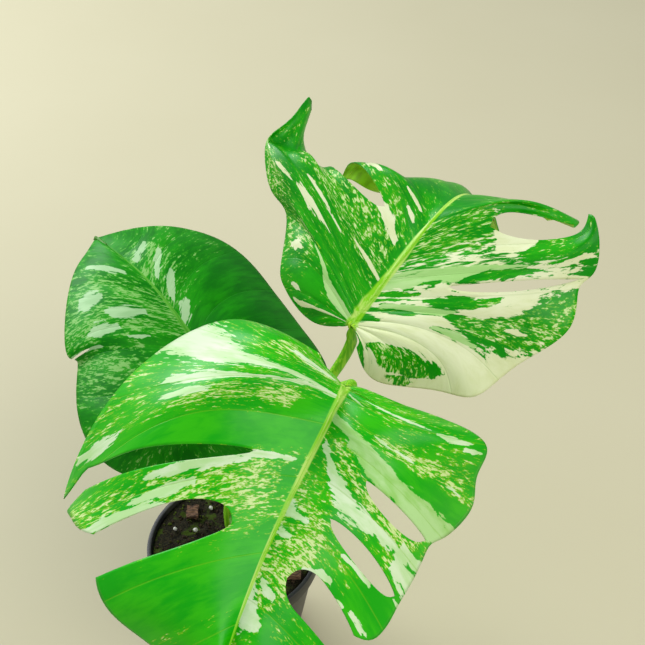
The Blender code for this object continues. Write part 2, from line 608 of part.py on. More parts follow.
for n, (x, y, a, b, c, turn) in enumerate(CHIPS, 1):
    m = Matrix.Rotation(radians(turn), 4, 'Z')
    corners = [m @ Vector((i * a, j * b, 0)) for i in (-1, 0, 1) for j in (-1, 0, 1)]
    z = max(soil_height(x + v.x, y + v.y) for v in corners) + GAP + c
    bm = bmesh.new()
    made = bmesh.ops.create_cube(bm, size=2.0, matrix=Matrix.Translation((x, y, z)) @ m
                                 @ Matrix.Diagonal((a, b, c, 1)))["verts"]
    for k, v in enumerate(made):
        shrink = 0.82 + 0.18 * sin(3.1 * k + 40 * x)
        v.co.x = x + (v.co.x - x) * shrink
        v.co.y = y + (v.co.y - y) * shrink
    finish("bark_chip_%d" % n, bm, bark, smooth=False, at=(x, y, z))
for n, (x, y, r) in enumerate(GRAINS, 1):
    z = max(soil_height(x + r * i, y + r * j) for i in (-1, 0, 1) for j in (-1, 0, 1)) + GAP + r
    bm = bmesh.new()
    bmesh.ops.create_icosphere(bm, subdivisions=1, radius=r,
                               matrix=Matrix.Translation((x, y, z)))
    finish("perlite_%d" % n, bm, perlite, at=(x, y, z))
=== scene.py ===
# %% [markdown]
# # A potted variegated monstera
# The measured model of the plant is loaded first. It gives every piece its place, and this
# script only adds what the eye sees: fine leaf surfaces, veins, colours, soil and light.

# %% load the measured model
import bpy
import numpy as np
from math import cos, sin, pi, radians
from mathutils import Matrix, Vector, noise


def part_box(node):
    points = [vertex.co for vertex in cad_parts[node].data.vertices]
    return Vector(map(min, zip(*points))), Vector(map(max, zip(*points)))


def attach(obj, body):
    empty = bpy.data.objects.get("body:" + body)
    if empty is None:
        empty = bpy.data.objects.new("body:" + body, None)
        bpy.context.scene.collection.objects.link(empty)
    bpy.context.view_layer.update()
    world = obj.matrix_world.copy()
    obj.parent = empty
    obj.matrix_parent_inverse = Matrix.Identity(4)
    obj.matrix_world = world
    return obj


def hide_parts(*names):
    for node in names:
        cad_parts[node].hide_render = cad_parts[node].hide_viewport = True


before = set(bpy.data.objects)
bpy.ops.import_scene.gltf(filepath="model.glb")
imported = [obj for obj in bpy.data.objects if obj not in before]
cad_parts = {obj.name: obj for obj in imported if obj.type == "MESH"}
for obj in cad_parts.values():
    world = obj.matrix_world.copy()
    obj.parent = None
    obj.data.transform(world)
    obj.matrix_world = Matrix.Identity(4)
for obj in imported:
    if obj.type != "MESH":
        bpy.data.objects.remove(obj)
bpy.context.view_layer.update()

ROOT = "root"                               # the plant and its pot are one body

# %% [markdown]
# ## Camera
# The plant is seen from the front and from well above, so that the leaves show their upper
# faces and hide the pot. A lens a little longer than normal keeps the blades in proportion.

# %% camera
camera = bpy.data.objects.new("camera", bpy.data.cameras.new("camera"))
bpy.context.scene.collection.objects.link(camera)
camera.location = (0.0671, -0.5216, 0.8025)
camera.rotation_euler = (radians(48), 0, 0)
camera.data.lens = 62.8
camera.data.sensor_width = 36
camera.data.clip_start = 0.01
bpy.context.scene.camera = camera
print("camera at", tuple(camera.location))

# %% [markdown]
# ## Light and floor
# Soft daylight comes from a wide window at the upper left behind the plant. A panel in front
# fills the shadows, a small low one on the left gives the sheen on the near blade, and the sky
# adds the rest. The floor is one plain pale sheet.


# %% light and floor
def area_light(name, at, aim, size, power, colour):
    """A rectangular panel at a place, turned to face another place."""
    light = bpy.data.lights.new(name, 'AREA')
    light.shape = 'RECTANGLE'
    light.size, light.size_y = size
    light.energy = power
    light.color = colour
    ob = bpy.data.objects.new(name, light)
    ob.location = at
    ob.rotation_euler = (Vector(aim) - Vector(at)).to_track_quat('-Z', 'Y').to_euler()
    bpy.context.scene.collection.objects.link(ob)


area_light("window", (-1.3, 1.5, 1.7), (0.05, 0, 0.28), (1.5, 1.2), 50, (0.93, 0.97, 1.0))
area_light("room", (1.2, -1.3, 1.9), (0.05, 0, 0.28), (2.0, 2.0), 42, (1.0, 0.99, 0.95))
area_light("sheen", (-1.25, 0.62, 0.90), (0.0, -0.05, 0.35), (0.40, 0.40), 5, (0.90, 0.96, 1.0))
sky = bpy.data.worlds.new("sky")
sky.use_nodes = True
sky.node_tree.nodes["Background"].inputs["Color"].default_value = (0.80, 0.88, 0.90, 1)
sky.node_tree.nodes["Background"].inputs["Strength"].default_value = 0.46
bpy.context.scene.world = sky
bpy.context.scene.view_settings.view_transform = 'Standard'

bpy.ops.object.select_all(action='DESELECT')
bpy.ops.mesh.primitive_plane_add(size=12, location=(0, 0, -0.0005))
floor = bpy.context.object
floor.name = "floor"
print("three lights, a sky and a floor")

# %% [markdown]
# ## Materials from small graphs
# Each finish is a graph of noise and ramps that ends in one Principled shader. A short helper
# adds a node, sets its values and joins its inputs, so that each finish reads as one list.


# %% material helper
class Graph:
    """A material's node graph, built one line per node."""

    def __init__(self, name, roughness=0.5):
        self.mat = bpy.data.materials.new(name)
        self.mat.use_nodes = True
        self.tree = self.mat.node_tree
        self.shader = self.tree.nodes["Principled BSDF"]
        self.shader.inputs["Roughness"].default_value = roughness

    def join(self, socket, value):
        if isinstance(value, bpy.types.NodeSocket):
            self.tree.links.new(value, socket)
        elif hasattr(socket, "default_value"):
            if hasattr(socket.default_value, "__len__") and not hasattr(value, "__len__"):
                value = (value,) * len(socket.default_value)
            elif hasattr(value, "__len__") and len(value) == 3 \
                    and len(socket.default_value) == 4:
                value = (*value, 1)
            socket.default_value = value

    def add(self, kind, inputs=None, out=0, **settings):
        node = self.tree.nodes.new(kind)
        for key, value in settings.items():
            setattr(node, key, value)
        for key, value in (inputs or {}).items():
            self.join(node.inputs[key], value)
        return node.outputs[out]

    def math(self, operation, a, b=0.0, clamp=False):
        return self.add("ShaderNodeMath", {0: a, 1: b}, operation=operation, use_clamp=clamp)

    def noise(self, where, scale, detail=3.0, rough=0.5, distort=0.0):
        return self.add("ShaderNodeTexNoise", {"Vector": where, "Scale": scale,
                                               "Detail": detail, "Roughness": rough,
                                               "Distortion": distort})

    def scaled(self, where, x, y, z, shift=(0, 0, 0)):
        return self.add("ShaderNodeMapping", {"Vector": where, "Scale": (x, y, z),
                                              "Location": shift})

    def ramp(self, value, low, high):
        """0 below low, 1 above high, smooth between them."""
        return self.add("ShaderNodeMapRange", {"Value": value, "From Min": low,
                                               "From Max": high},
                        interpolation_type='SMOOTHSTEP')

    def mix(self, share, a, b):
        node = self.tree.nodes.new("ShaderNodeMix")
        node.data_type = 'RGBA'
        for socket, value in ((node.inputs[0], share), (node.inputs[6], a),
                              (node.inputs[7], b)):
            self.join(socket, value)
        return node.outputs[2]

    def attribute(self, name, out=1):
        return self.add("ShaderNodeAttribute", out=out, attribute_name=name)

    def place(self):
        return self.add("ShaderNodeTexCoord", out=3)

    def parts(self, vector):
        node = self.tree.nodes.new("ShaderNodeSeparateXYZ")
        self.join(node.inputs[0], vector)
        return node.outputs

    def finish(self, colour, bump=None, strength=0.3, depth=0.001, roughness=None, **sockets):
        self.join(self.shader.inputs["Base Color"], colour)
        if roughness is not None:
            self.join(self.shader.inputs["Roughness"], roughness)
        if bump is not None:
            normal = self.add("ShaderNodeBump", {"Height": bump, "Strength": strength,
                                                 "Distance": depth})
            self.join(self.shader.inputs["Normal"], normal)
        for name, value in sockets.items():
            self.join(self.shader.inputs[name.replace("_", " ")], value)
        return self.mat


def wear(ob, *mats):
    ob.data.materials.clear()
    for mat in mats:
        ob.data.materials.append(mat)


# %% [markdown]
# ## Floor finish
# A matt sheet of warm pale paper, with a faint cloudiness so that it isn't one flat tone.

# %% floor finish
g = Graph("floor_paper", 0.8)
grain = g.noise(g.place(), 3.0, 4)
wear(floor, g.finish(g.mix(grain, (0.52, 0.47, 0.31), (0.56, 0.51, 0.35))))
print("floor finished")

# %% [markdown]
# ## The shape of a blade
# A monstera blade is a sheet that follows its veins. The midrib is a smooth curve, side veins
# leave it on both sides, and the sheet between them is split or pierced. So each half of the
# blade is one smooth surface over two numbers: t, which counts the side veins from the base
# to the tip, and s, the way out from midrib (0) to margin (1). The veins' points are in
# hundredths of the blade's length: X to the right, Y along the midrib, Z out of the upper
# face. They are the same veins that the measured model was drawn with.

# %% veins of the three blades
SOIL_LEVEL = 0.1045
FRONT = dict(
    at=(0.080, -0.071, 0.2425 + SOIL_LEVEL), turn=(210, -30, -12), length=0.240,
    midrib=[(0, 0, 0), (0, 33, 2), (-2, 66, 0), (-6, 100, -16)],
    right=[
        (0.00, [(5, -2, 1), (9, -5, 0)]),
        (0.00, [(12, -3, 5), (25, -6, -1)]),
        (0.00, [(18, 1, 8), (40, 1, -4)]),
        (0.03, [(23, 10, 10), (53, 26, -9)]),
        (0.10, [(16.5, 15.5, 7), (36, 27.5, 4), (56.5, 51.5, -24)]),
        (0.24, [(22, 35.5, 6), (47.5, 56, -12)]),
        (0.43, [(15, 54.5, 5), (30, 69, -5)]),
        (0.60, [(3.5, 65.5, 3), (11, 74, -6)]),
        (0.78, [(-4.5, 77, 0), (-2, 88, -10)]),
        (1.00, [(-6, 100, -16), (-6, 100, -16)])],
    left=[
        (0.00, [(-2, -1.5, 0), (-5, -2, -1)]),
        (0.00, [(-8.5, -0.5, 2), (-14.5, -2.5, -2)]),
        (0.00, [(-14, 0.5, 3), (-25, -4, -5)]),
        (0.02, [(-18, 2.5, 4), (-35.5, -3, -8)]),
        (0.04, [(-18, 7, 4), (-36.5, 3.5, -14)]),
        (0.07, [(-18, 10.5, 4), (-38.5, 10, -21)]),
        (0.10, [(-18.5, 14.5, 4), (-36, 19, -21)]),
        (0.20, [(-17, 23.5, 3), (-33, 29, -15)]),
        (0.36, [(-14, 36.5, 3), (-31.5, 46.5, -12)]),
        (0.54, [(-10.5, 55.5, 2), (-23, 61, -8)]),
        (0.76, [(-10, 69.5, 0), (-20, 77.5, -10)]),
        (1.00, [(-6, 100, -16), (-6, 100, -16)])],
    right_splits=[
        dict(t=4.66, s0=0.26, wa=0.08, fa=0.97, wb=0.10, fb=-0.36, power=2.6, hook=0.45,
             round_b=0.09),
        dict(t=5.58, s0=0.25, wa=0.40, fa=-0.10, wb=0.15, blunt=0.5, round_a=0.07, round_b=0.03),
        dict(t=7.40, s0=0.45, wa=0.20, wb=0.20, round=0.05)],
    left_splits=[
        dict(t=6.56, s0=0.41, s1=0.95, wa=0.05, wb=0.34, notch=0.03),
        dict(t=7.62, s0=0.37, s1=0.95, wa=0.06, wb=0.23, notch=0.02),
        dict(t=8.52, s0=0.33, wa=0.25, fa=-0.09, wb=0.21, round=0.08),
        dict(t=9.50, s0=0.60, wa=0.12, wb=0.12, round=0.05)])

RIGHT = dict(
    at=(0.085, -0.010, 0.2355 + SOIL_LEVEL), turn=(45, 38, 10), length=0.200,
    midrib=[(0, 0, 0), (2.5, 24, 3), (3.5, 45, 0), (3, 55, -14), (2, 57, -34), (1, 54, -55)],
    right=[
        (0.00, [(4, -2, 0), (5, -5, -1)]),
        (0.00, [(9, -4, 1), (12, -10, -4)]),
        (0.00, [(16, 0, 2), (21, -8, -5)]),
        (0.00, [(23, 5, 3), (33, -2, -6)]),
        (0.00, [(25, 9, 3), (43, 3, -7)]),
        (0.02, [(26, 14, 3), (48, 17, -7)]),
        (0.05, [(30, 22, 3), (55, 34, -6)]),
        (0.09, [(30, 28, 3), (51, 46, -5)]),
        (0.14, [(30, 37, 3), (52, 54, -4)]),
        (0.20, [(24, 43, 2), (42, 56, 0), (44, 65, 2)]),
        (0.30, [(15, 50, 1), (26, 58, -4), (38, 62, -10)]),
        (0.40, [(17, 56, -1), (26, 62, -6), (34, 66, -20)]),
        (0.60, [(9, 58, -22), (14, 55, -34)]),
        (0.80, [(7, 57, -40), (10, 52, -54)]),
        (1.00, [(1, 54, -55), (1, 54, -55)])],
    left=[
        (0.00, [(-2, -2, 0), (-4, -3, -1)]),
        (0.00, [(-8, -2, 1), (-14, -6, -2)]),
        (0.00, [(-15, 0, 2), (-27, -2, -3)]),
        (0.00, [(-20, 8, 3), (-33, 5, -2)]),
        (0.02, [(-22, 14, 3), (-41, 18, -3)]),
        (0.03, [(-25, 16, 3), (-41, 22, 1), (-50, 22, -2)]),
        (0.04, [(-27, 21, 3), (-48, 28, 2), (-60, 32, -2)]),
        (0.06, [(-26, 23, 3), (-50, 33, 2), (-61, 35, -3), (-63, 39, -6)]),
        (0.08, [(-25, 24, 3), (-50, 34, 1), (-60, 37, -8), (-63, 48, -11)]),
        (0.10, [(-24, 26, 3), (-47, 36, 1), (-55, 38, -8), (-65, 57, -16)]),
        (0.12, [(-22, 26, 3), (-45, 37, 0), (-54, 39, -9), (-63, 53, -20)]),
        (0.14, [(-20, 26, 2), (-41, 37, 0), (-50, 39, -9), (-61, 44, -23)]),
        (0.16, [(-15, 28, 2), (-33, 36, 0), (-43, 38, -10), (-50, 37, -31)]),
        (0.26, [(-9, 40, 1), (-23, 46, -1), (-33, 45, -11), (-36, 40, -17)]),
        (0.34, [(-2, 43, 0), (-12, 48, -3), (-20, 47, -12), (-25, 42, -19)]),
        (0.55, [(-10, 57, -24), (-18, 54, -40)]),
        (0.78, [(-6, 58, -42), (-12, 52, -56)]),
        (1.00, [(1, 54, -55), (1, 54, -55)])],
    right_splits=[
        dict(t=7.50, s0=0.33, s1=0.95, wa=0.36, wb=0.06),
        dict(t=9.50, s0=0.35, wa=0.42, fa=-0.1, wb=0.42, fb=-0.1, blunt=0.3),
        dict(t=11.60, s0=0.42, wa=0.20, wb=1.40)],
    left_splits=[
        dict(t=12.60, s0=0.26, wa=0.42, wb=0.12, blunt=0.6),
        dict(t=14.50, s0=0.60, wa=0.20, wb=0.20)])

BACK = dict(
    at=(-0.001, 0.018, 0.1545 + SOIL_LEVEL), turn=(-35, 20, 0), length=0.190,
    midrib=[(0, 0, 0), (-1, 26, 3), (-4, 52, 3), (-9, 79, -5)],
    right=[
        (0.00, [(1, -7, 1), (6, -15, -1)]),
        (0.00, [(9, -11, 4), (29, -20, -5)]),
        (0.02, [(14, -3, 5), (41, -10, -6)]),
        (0.10, [(18, 11, 5), (42, 9, -6)]),
        (0.24, [(18, 29, 4), (41, 29, -6)]),
        (0.42, [(14, 45, 4), (38, 51, -6)]),
        (0.62, [(9, 59, 3), (26, 67, -5)]),
        (0.82, [(3, 68, 0), (10, 76, -5)]),
        (1.00, [(-9, 79, -5), (-9, 79, -5)])],
    left=[
        (0.00, [(-3, -8, 1), (-3, -17, -1)]),
        (0.00, [(-12, -12, 4), (-5, -27, -4)]),
        (0.00, [(-24, -10, 5), (-36, -19, -6)]),
        (0.02, [(-30, -1, 6), (-50, 1, -7)]),
        (0.08, [(-28, 9, 6), (-46, 22, -7)]),
        (0.18, [(-24, 26, 5), (-39, 35, -7)]),
        (0.30, [(-24, 36, 5), (-41, 40, -5)]),
        (0.50, [(-17, 54, 3), (-28, 63, -5)]),
        (0.74, [(-10, 67, 1), (-16, 74, -5)]),
        (1.00, [(-9, 79, -5), (-9, 79, -5)])],
    right_splits=[],
    left_splits=[dict(t=5.40, s0=0.80, wa=0.08, fa=0.05, wb=0.10, fb=0.02)])
print("three blades,", sum(len(b[k]) for b in (FRONT, RIGHT, BACK) for k in ("left", "right")),
      "veins")

# %% [markdown]
# ## From veins to a surface
# A natural cubic spline runs through the veins in both directions, so the sheet bends as
# smoothly as a real blade. The sheet's root is pulled onto the midrib, so both halves meet.


# %% spline surface of half a blade
def natural_spline(n, x):
    """Weights of the natural cubic spline through values at 0, 1 .. n-1, at the places x."""
    x = np.atleast_1d(np.asarray(x, float))
    if n == 2:
        return np.stack([1 - x, x], 1)
    a, b = np.eye(n), np.zeros((n, n))
    for i in range(1, n - 1):
        a[i, i - 1:i + 2] = 1, 4, 1
        b[i, i - 1:i + 2] = 6, -12, 6
    bend = np.linalg.solve(a, b)
    i = np.clip(np.floor(x).astype(int), 0, n - 2)
    f = (x - i)[:, None]
    eye = np.eye(n)
    return ((1 - f) * eye[i] + f * eye[i + 1]
            + ((1 - f) ** 3 - (1 - f)) / 6 * bend[i] + (f ** 3 - f) / 6 * bend[i + 1])


def frame_of(blade):
    """Where a blade is attached, and its X, Y and Z directions."""
    h, p, r = (radians(v) for v in blade["turn"])
    y = np.array([sin(h) * cos(p), cos(h) * cos(p), sin(p)])
    flat = np.array([cos(h), -sin(h), 0.0])
    up = np.cross(flat, y)
    axes = np.stack([flat * cos(r) - up * sin(r), y, up * cos(r) + flat * sin(r)])
    return np.array(blade["at"]), axes


class Half:
    """One half of a blade, as a surface over (t, s)."""

    def __init__(self, blade, name):
        veins = blade[name]
        mid = np.array(blade["midrib"], float)
        self.sign = 1 if name == "right" else -1
        self.length = blade["length"]
        self.last = len(veins) - 1.0
        self.leave = np.array([v[0] for v in veins], float)
        self.fan = int((self.leave <= 0).sum()) - 1
        self.splits = blade[name + "_splits"]
        self.midrib = lambda m: natural_spline(len(mid), np.asarray(m) * (len(mid) - 1)) @ mid
        s = np.linspace(0, 1, 5)[:, None]
        rows = []
        for m, points in veins:
            p = np.vstack([self.midrib(m)[0], np.array(points, float)])
            if len(p) == 3:
                rows.append(p[0] * (1 - s) * (1 - 2 * s) + p[1] * 4 * s * (1 - s)
                            + p[2] * s * (2 * s - 1))
            else:
                rows.append(natural_spline(len(p), s[:, 0] * (len(p) - 1)) @ p)
        self.control = np.array(rows)
        k = np.linspace(0, self.last, 400)
        rim = self.point(k, np.full(400, 0.8))
        steps = np.linalg.norm(np.diff(rim, axis=0), axis=1)
        self.around = (k, np.append(0, np.cumsum(steps)) * self.length / 100)
        reach = [np.linalg.norm(np.diff(row, axis=0), axis=1).sum() for row in self.control]
        self.reach = np.array(reach) * self.length / 100

    def share(self, t):
        """How far along the midrib the vein t leaves it, from 0 to 1."""
        return np.interp(t, np.arange(len(self.leave)), self.leave)

    def vein_length(self, t):
        return np.interp(t, np.arange(len(self.reach)), self.reach)

    def place(self, m):
        """The vein number at a share m of the midrib."""
        return np.interp(m, self.leave[self.fan:], np.arange(self.fan, len(self.leave)))

    def point(self, t, s):
        """The place on the sheet, in hundredths of the blade's length."""
        t, s = np.broadcast_arrays(t, s)
        shape, t, s = t.shape, t.ravel(), s.ravel()
        wt = natural_spline(len(self.leave), t)
        p = np.einsum("ai,ikd,ak->ad", wt, self.control, natural_spline(5, s * 4))
        off = self.midrib(self.share(t)) - wt @ self.control[:, 0]
        return (p + off * ((1 - s) ** 2)[:, None]).reshape(*shape, 3)

    def normal(self, t, s):
        """Which way the upper face looks. On the midrib both halves give the same answer."""
        e = 1e-3
        dt = self.point(np.clip(t + e, 0, self.last), s) \
            - self.point(np.clip(t - e, 0, self.last), s)
        ds = self.point(t, np.clip(s + e, 0, 1)) - self.point(t, np.clip(s - e, 0, 1))
        n = self.sign * np.cross(ds, dt)
        n = n / np.maximum(np.linalg.norm(n, axis=-1, keepdims=True), 1e-9)
        m = self.share(t)
        run = self.midrib((m + 1e-3).ravel()) - self.midrib((m - 1e-3).ravel())
        spine = np.cross((1.0, 0, 0), run.reshape(*m.shape, 3))
        spine /= np.linalg.norm(spine, axis=-1, keepdims=True)
        w = np.clip(s / 0.04, 0, 1)[..., None]
        n = n * w + spine * (1 - w)
        return n / np.maximum(np.linalg.norm(n, axis=-1, keepdims=True), 1e-9)


def opening(split, s, which):
    """Half width of a split at s, in vein numbers, on the lobe before (a) or after (b)."""
    wide = split.get("w" + which, 0.0)
    if "s1" in split:
        x = np.clip((s - split["s0"]) / (split["s1"] - split["s0"]), 0, 1)
        return wide * np.sqrt(4 * x * (1 - x))
    x = np.clip((s - split["s0"]) / (1 - split["s0"]), 0, 1)
    blunt = np.clip(x / split.get("blunt", 0.35), 0, 1)
    hook = split.get("hook", 0.0) * np.clip(10 * x - 9, 0, 1) if which == "a" else 0.0
    return wide * np.sqrt(blunt * (2 - blunt)) \
        + split.get("f" + which, 0.0) * x ** split.get("power", 2) - hook


def margin(splits, a, b, t, s, u):
    """How far out the blade reaches, as a share, at t and s on the lobe from split a to b."""
    out = np.ones_like(t)
    for split in splits:
        out -= split.get("notch", 0.0) * np.exp(-((t - split["t"]) / 0.3) ** 2)
    for split, side, key in ((a, 1 - 2 * u, "round_b"), (b, 2 * u - 1, "round_a")):
        beyond = np.clip((s - split["s0"]) / max(1 - split["s0"], 0.1), 0, 1)
        draw = split.get(key, split.get("round", 0.0))
        out -= draw * np.clip(side, 0, 1) ** 4 * beyond ** 3
    return out


print("spline surface ready")

# %% [markdown]
# ## Relief of a blade
# The midrib stands up as a soft rib. Each side vein lies in a shallow groove, and the sheet
# swells a little between the veins, which is what breaks up the light on a real leaf. The
# amounts are in metres, and they fade out towards the margin.

# %% relief
RIB_HALF = 0.0017       # half width of the midrib at the base
RIB_UP = 0.0007         # how far it stands up
SWELL = 0.0009          # how far the sheet swells between two side veins
ROWS = 62               # rows of faces from midrib to margin
RIM_STEP = 0.0030       # spacing of columns along the margin


def rib_number(t, ribs):
    """Which side vein t lies at, counting only the ones that show."""
    return np.interp(t, ribs, np.arange(len(ribs)))


def relief(half, t, s, ribs):
    """Height above the smooth sheet, in metres, at (t, s)."""
    reach = half.vein_length(t)
    thin = 1 - 0.75 * half.share(t)
    across = s * reach / (RIB_HALF * thin)
    up = RIB_UP * thin * np.exp(-across ** 2)
    f = np.abs((rib_number(t, ribs) + 0.5) % 1 - 0.5) * 2              # 0 on a vein, 1 halfway to the next
    span = np.clip(s * 6, 0, 1) * np.clip((1.04 - s) * 5, 0, 1)
    return up + SWELL * span * (np.sin(f * pi / 2) ** 0.8 - 0.6)


# %% [markdown]
# ## Drawing the lobes
# A grid is added for each lobe, and its points are laid on the surface between the splits on
# either side of it. The lobes are then merged where they touch: along the midrib and inside
# the ends of the splits. Solidify gives the sheet its thickness, more under the midrib, and
# puts the paler lower skin on the underside. Each point also keeps its vein numbers, so that
# the colour can follow the veins.

# %% blade builder
def columns_of(halves):
    """Places along the midrib where both halves have a column of points."""
    keep = {round(float(h.share(sp["t"])), 6) for h in halves for sp in h.splits} | {1.0}
    free = set()
    for half in halves:
        k, around = half.around
        n = int(around[-1] / RIM_STEP)
        t = np.interp(np.linspace(0, around[-1], n), around, k)
        free |= {round(float(m), 6) for m in half.share(t[t > half.fan])}
    out = sorted(keep)
    for m in sorted(free):
        if m > 0.002 and min(abs(m - q) for q in out) > 0.0016:
            out.append(m)
    return np.array(sorted(out))


def draw_lobe(half, a, b, t, s, blade, ribs, strokes):
    """Add one grid and lay it between the splits a and b."""
    origin, axes = frame_of(blade)
    u = (t - a["t"]) / (b["t"] - a["t"])
    low, high = a["t"] + opening(a, s, "b"), b["t"] - opening(b, s, "a")
    tt = low[:, None] + u[None] * (high - low)[:, None]
    ss = s[:, None] * margin(half.splits, a, b, tt, s[:, None], u[None])
    local = half.point(tt, ss) / 100 * half.length
    local = local + half.normal(tt, ss) * relief(half, tt, ss, ribs)[..., None]
    world = origin + local @ axes
    bpy.ops.object.select_all(action='DESELECT')
    bpy.ops.mesh.primitive_grid_add(x_subdivisions=len(t) - 1, y_subdivisions=len(s) - 1,
                                    size=0.01)
    lobe = bpy.context.object
    me = lobe.data
    me.vertices.foreach_set("co", world.reshape(-1))
    if half.sign > 0:
        me.flip_normals()
    reach = half.vein_length(tt)
    along = np.interp(tt, *half.around)
    veins = np.stack([along * 100, ss * reach * 100, np.full(tt.shape, 20.0 * half.sign)], -1)
    e = 1e-3
    before, after = np.clip(tt - e, 0, half.last), np.clip(tt + e, 0, half.last)
    wide = np.linalg.norm(half.point(after, ss) - half.point(before, ss), axis=-1)
    step = rib_number(after, ribs) - rib_number(before, ribs)
    gap = wide * half.length * 10 / np.maximum(step, 1e-6)      # millimetres between veins
    broad = 1.0 + 2.3 * (1 - half.share(tt)) ** 2               # half width of the midrib
    rib = np.stack([rib_number(tt, ribs), ss * reach * 1000 / broad, np.minimum(gap, 60)], -1)
    paint = painted(strokes, tt, ss, half.sign)
    for name, data in (("veins", veins), ("rib", rib), ("paint", paint)):
        layer = me.attributes.new(name, 'FLOAT_VECTOR', 'POINT')
        layer.data.foreach_set("vector", data.reshape(-1).astype(np.float32))
    thick = lobe.vertex_groups.new(name="thickness")
    thin = 1 - 0.6 * half.share(tt)
    weight = BLADE_T / RIB_T + (1 - BLADE_T / RIB_T) * thin * np.exp(
        -(ss * reach / (RIB_HALF * thin)) ** 2)
    for level in np.unique(np.round(weight, 2)):
        ids = np.flatnonzero(np.round(weight, 2).reshape(-1) == level)
        thick.add(ids.tolist(), float(level), 'REPLACE')
    return lobe


def painted(strokes, t, s, sign):
    """Cream, pale green and liveliness at (t, s). A stroke is a list of (s, t, half width)
    along the vein; it is 1 along its middle, 0 at its edge and negative outside it."""
    cream, pale, lively = np.full(t.shape, -1.0), np.full(t.shape, -1.0), np.zeros(t.shape)
    for side, kind, path in strokes:
        if side != sign:
            continue
        p = np.array(path, float)
        wide = np.interp(s, p[:, 0], p[:, 2])
        f = 1 - np.abs(t - np.interp(s, p[:, 0], p[:, 1])) / wide
        ends = np.minimum(s - p[0, 0], p[-1, 0] - s) / 0.02 + 1
        f = np.clip(np.minimum(f, ends), -1, 1)
        if kind == CREAM:
            cream, pale = np.maximum(cream, f), np.minimum(pale, -f)
        elif kind == PALE:
            cream, pale = np.minimum(cream, -f), np.maximum(pale, f)
        elif kind == GREEN:
            cream, pale = np.minimum(cream, -f), np.minimum(pale, -f)
        elif kind == CALM:
            lively = np.where(f > 0, -np.clip(2 * f, 0, 1), lively)
        else:
            lively = np.where(f > 0, np.clip(2 * f, 0, 1), lively)
    return np.stack([cream, pale, lively], -1)


# CALM has no flecks and BUSY has many. R and L are the halves of a blade.
CREAM, PALE, GREEN, CALM, BUSY = range(5)
R, L = 1, -1
BLADE_T = 0.0007        # thickness of a blade at its margin
RIB_T = 0.0030          # and along its midrib


def make_blade(name, node, blade, ribs, strokes, upper, lower):
    """All the lobes of a blade, merged, thickened and finished."""
    halves = [Half(blade, "right"), Half(blade, "left")]
    shares = columns_of(halves)
    s = np.linspace(0, 1, ROWS + 1) ** 1.3
    lobes = []
    for half in halves:
        fan = np.linspace(0, half.fan, int(half.around[1][np.searchsorted(
            half.around[0], half.fan)] / RIM_STEP * 1.5) + 2)
        places = np.unique(np.round(np.concatenate(
            [fan, half.place(shares), [sp["t"] for sp in half.splits]]), 5))
        end = dict(s0=2, s1=3)
        bounds = [dict(end, t=0.0)] + half.splits + [dict(end, t=half.last)]
        side = "right" if half.sign > 0 else "left"
        for a, b in zip(bounds[:-1], bounds[1:]):
            t = places[(places >= a["t"] - 1e-6) & (places <= b["t"] + 1e-6)]
            lobes.append(draw_lobe(half, a, b, t, s, blade, ribs[side], strokes))
    bpy.ops.object.select_all(action='DESELECT')
    for lobe in lobes:
        lobe.select_set(True)
    bpy.context.view_layer.objects.active = lobes[0]
    bpy.ops.object.join()
    ob = bpy.context.object
    ob.name = name
    bpy.ops.object.mode_set(mode='EDIT')
    bpy.ops.mesh.select_all(action='SELECT')
    bpy.ops.mesh.remove_doubles(threshold=0.00002)
    bpy.ops.mesh.dissolve_degenerate(threshold=0.00001)
    bpy.ops.object.mode_set(mode='OBJECT')
    wear(ob, upper, lower)
    solid = ob.modifiers.new("thickness", 'SOLIDIFY')
    solid.thickness = RIB_T
    solid.offset = -1
    solid.vertex_group = "thickness"
    solid.material_offset = 1
    bpy.ops.object.modifier_apply(modifier=solid.name)
    bpy.ops.object.shade_smooth()
    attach(ob, ROOT)
    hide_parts(node)
    print(name, len(ob.data.vertices), "points", len(ob.data.polygons), "faces")


# %% [markdown]
# ## Leaf skin
# The green of a variegated leaf is broken by cells that have lost their colour. They lie in
# streaks along the side veins: fine cream flecks in the green, wide cream sectors, and pale
# green where a thin green layer lies over white. The strokes painted on each blade say how
# much of each there is, and stretched noise breaks them into streaks.


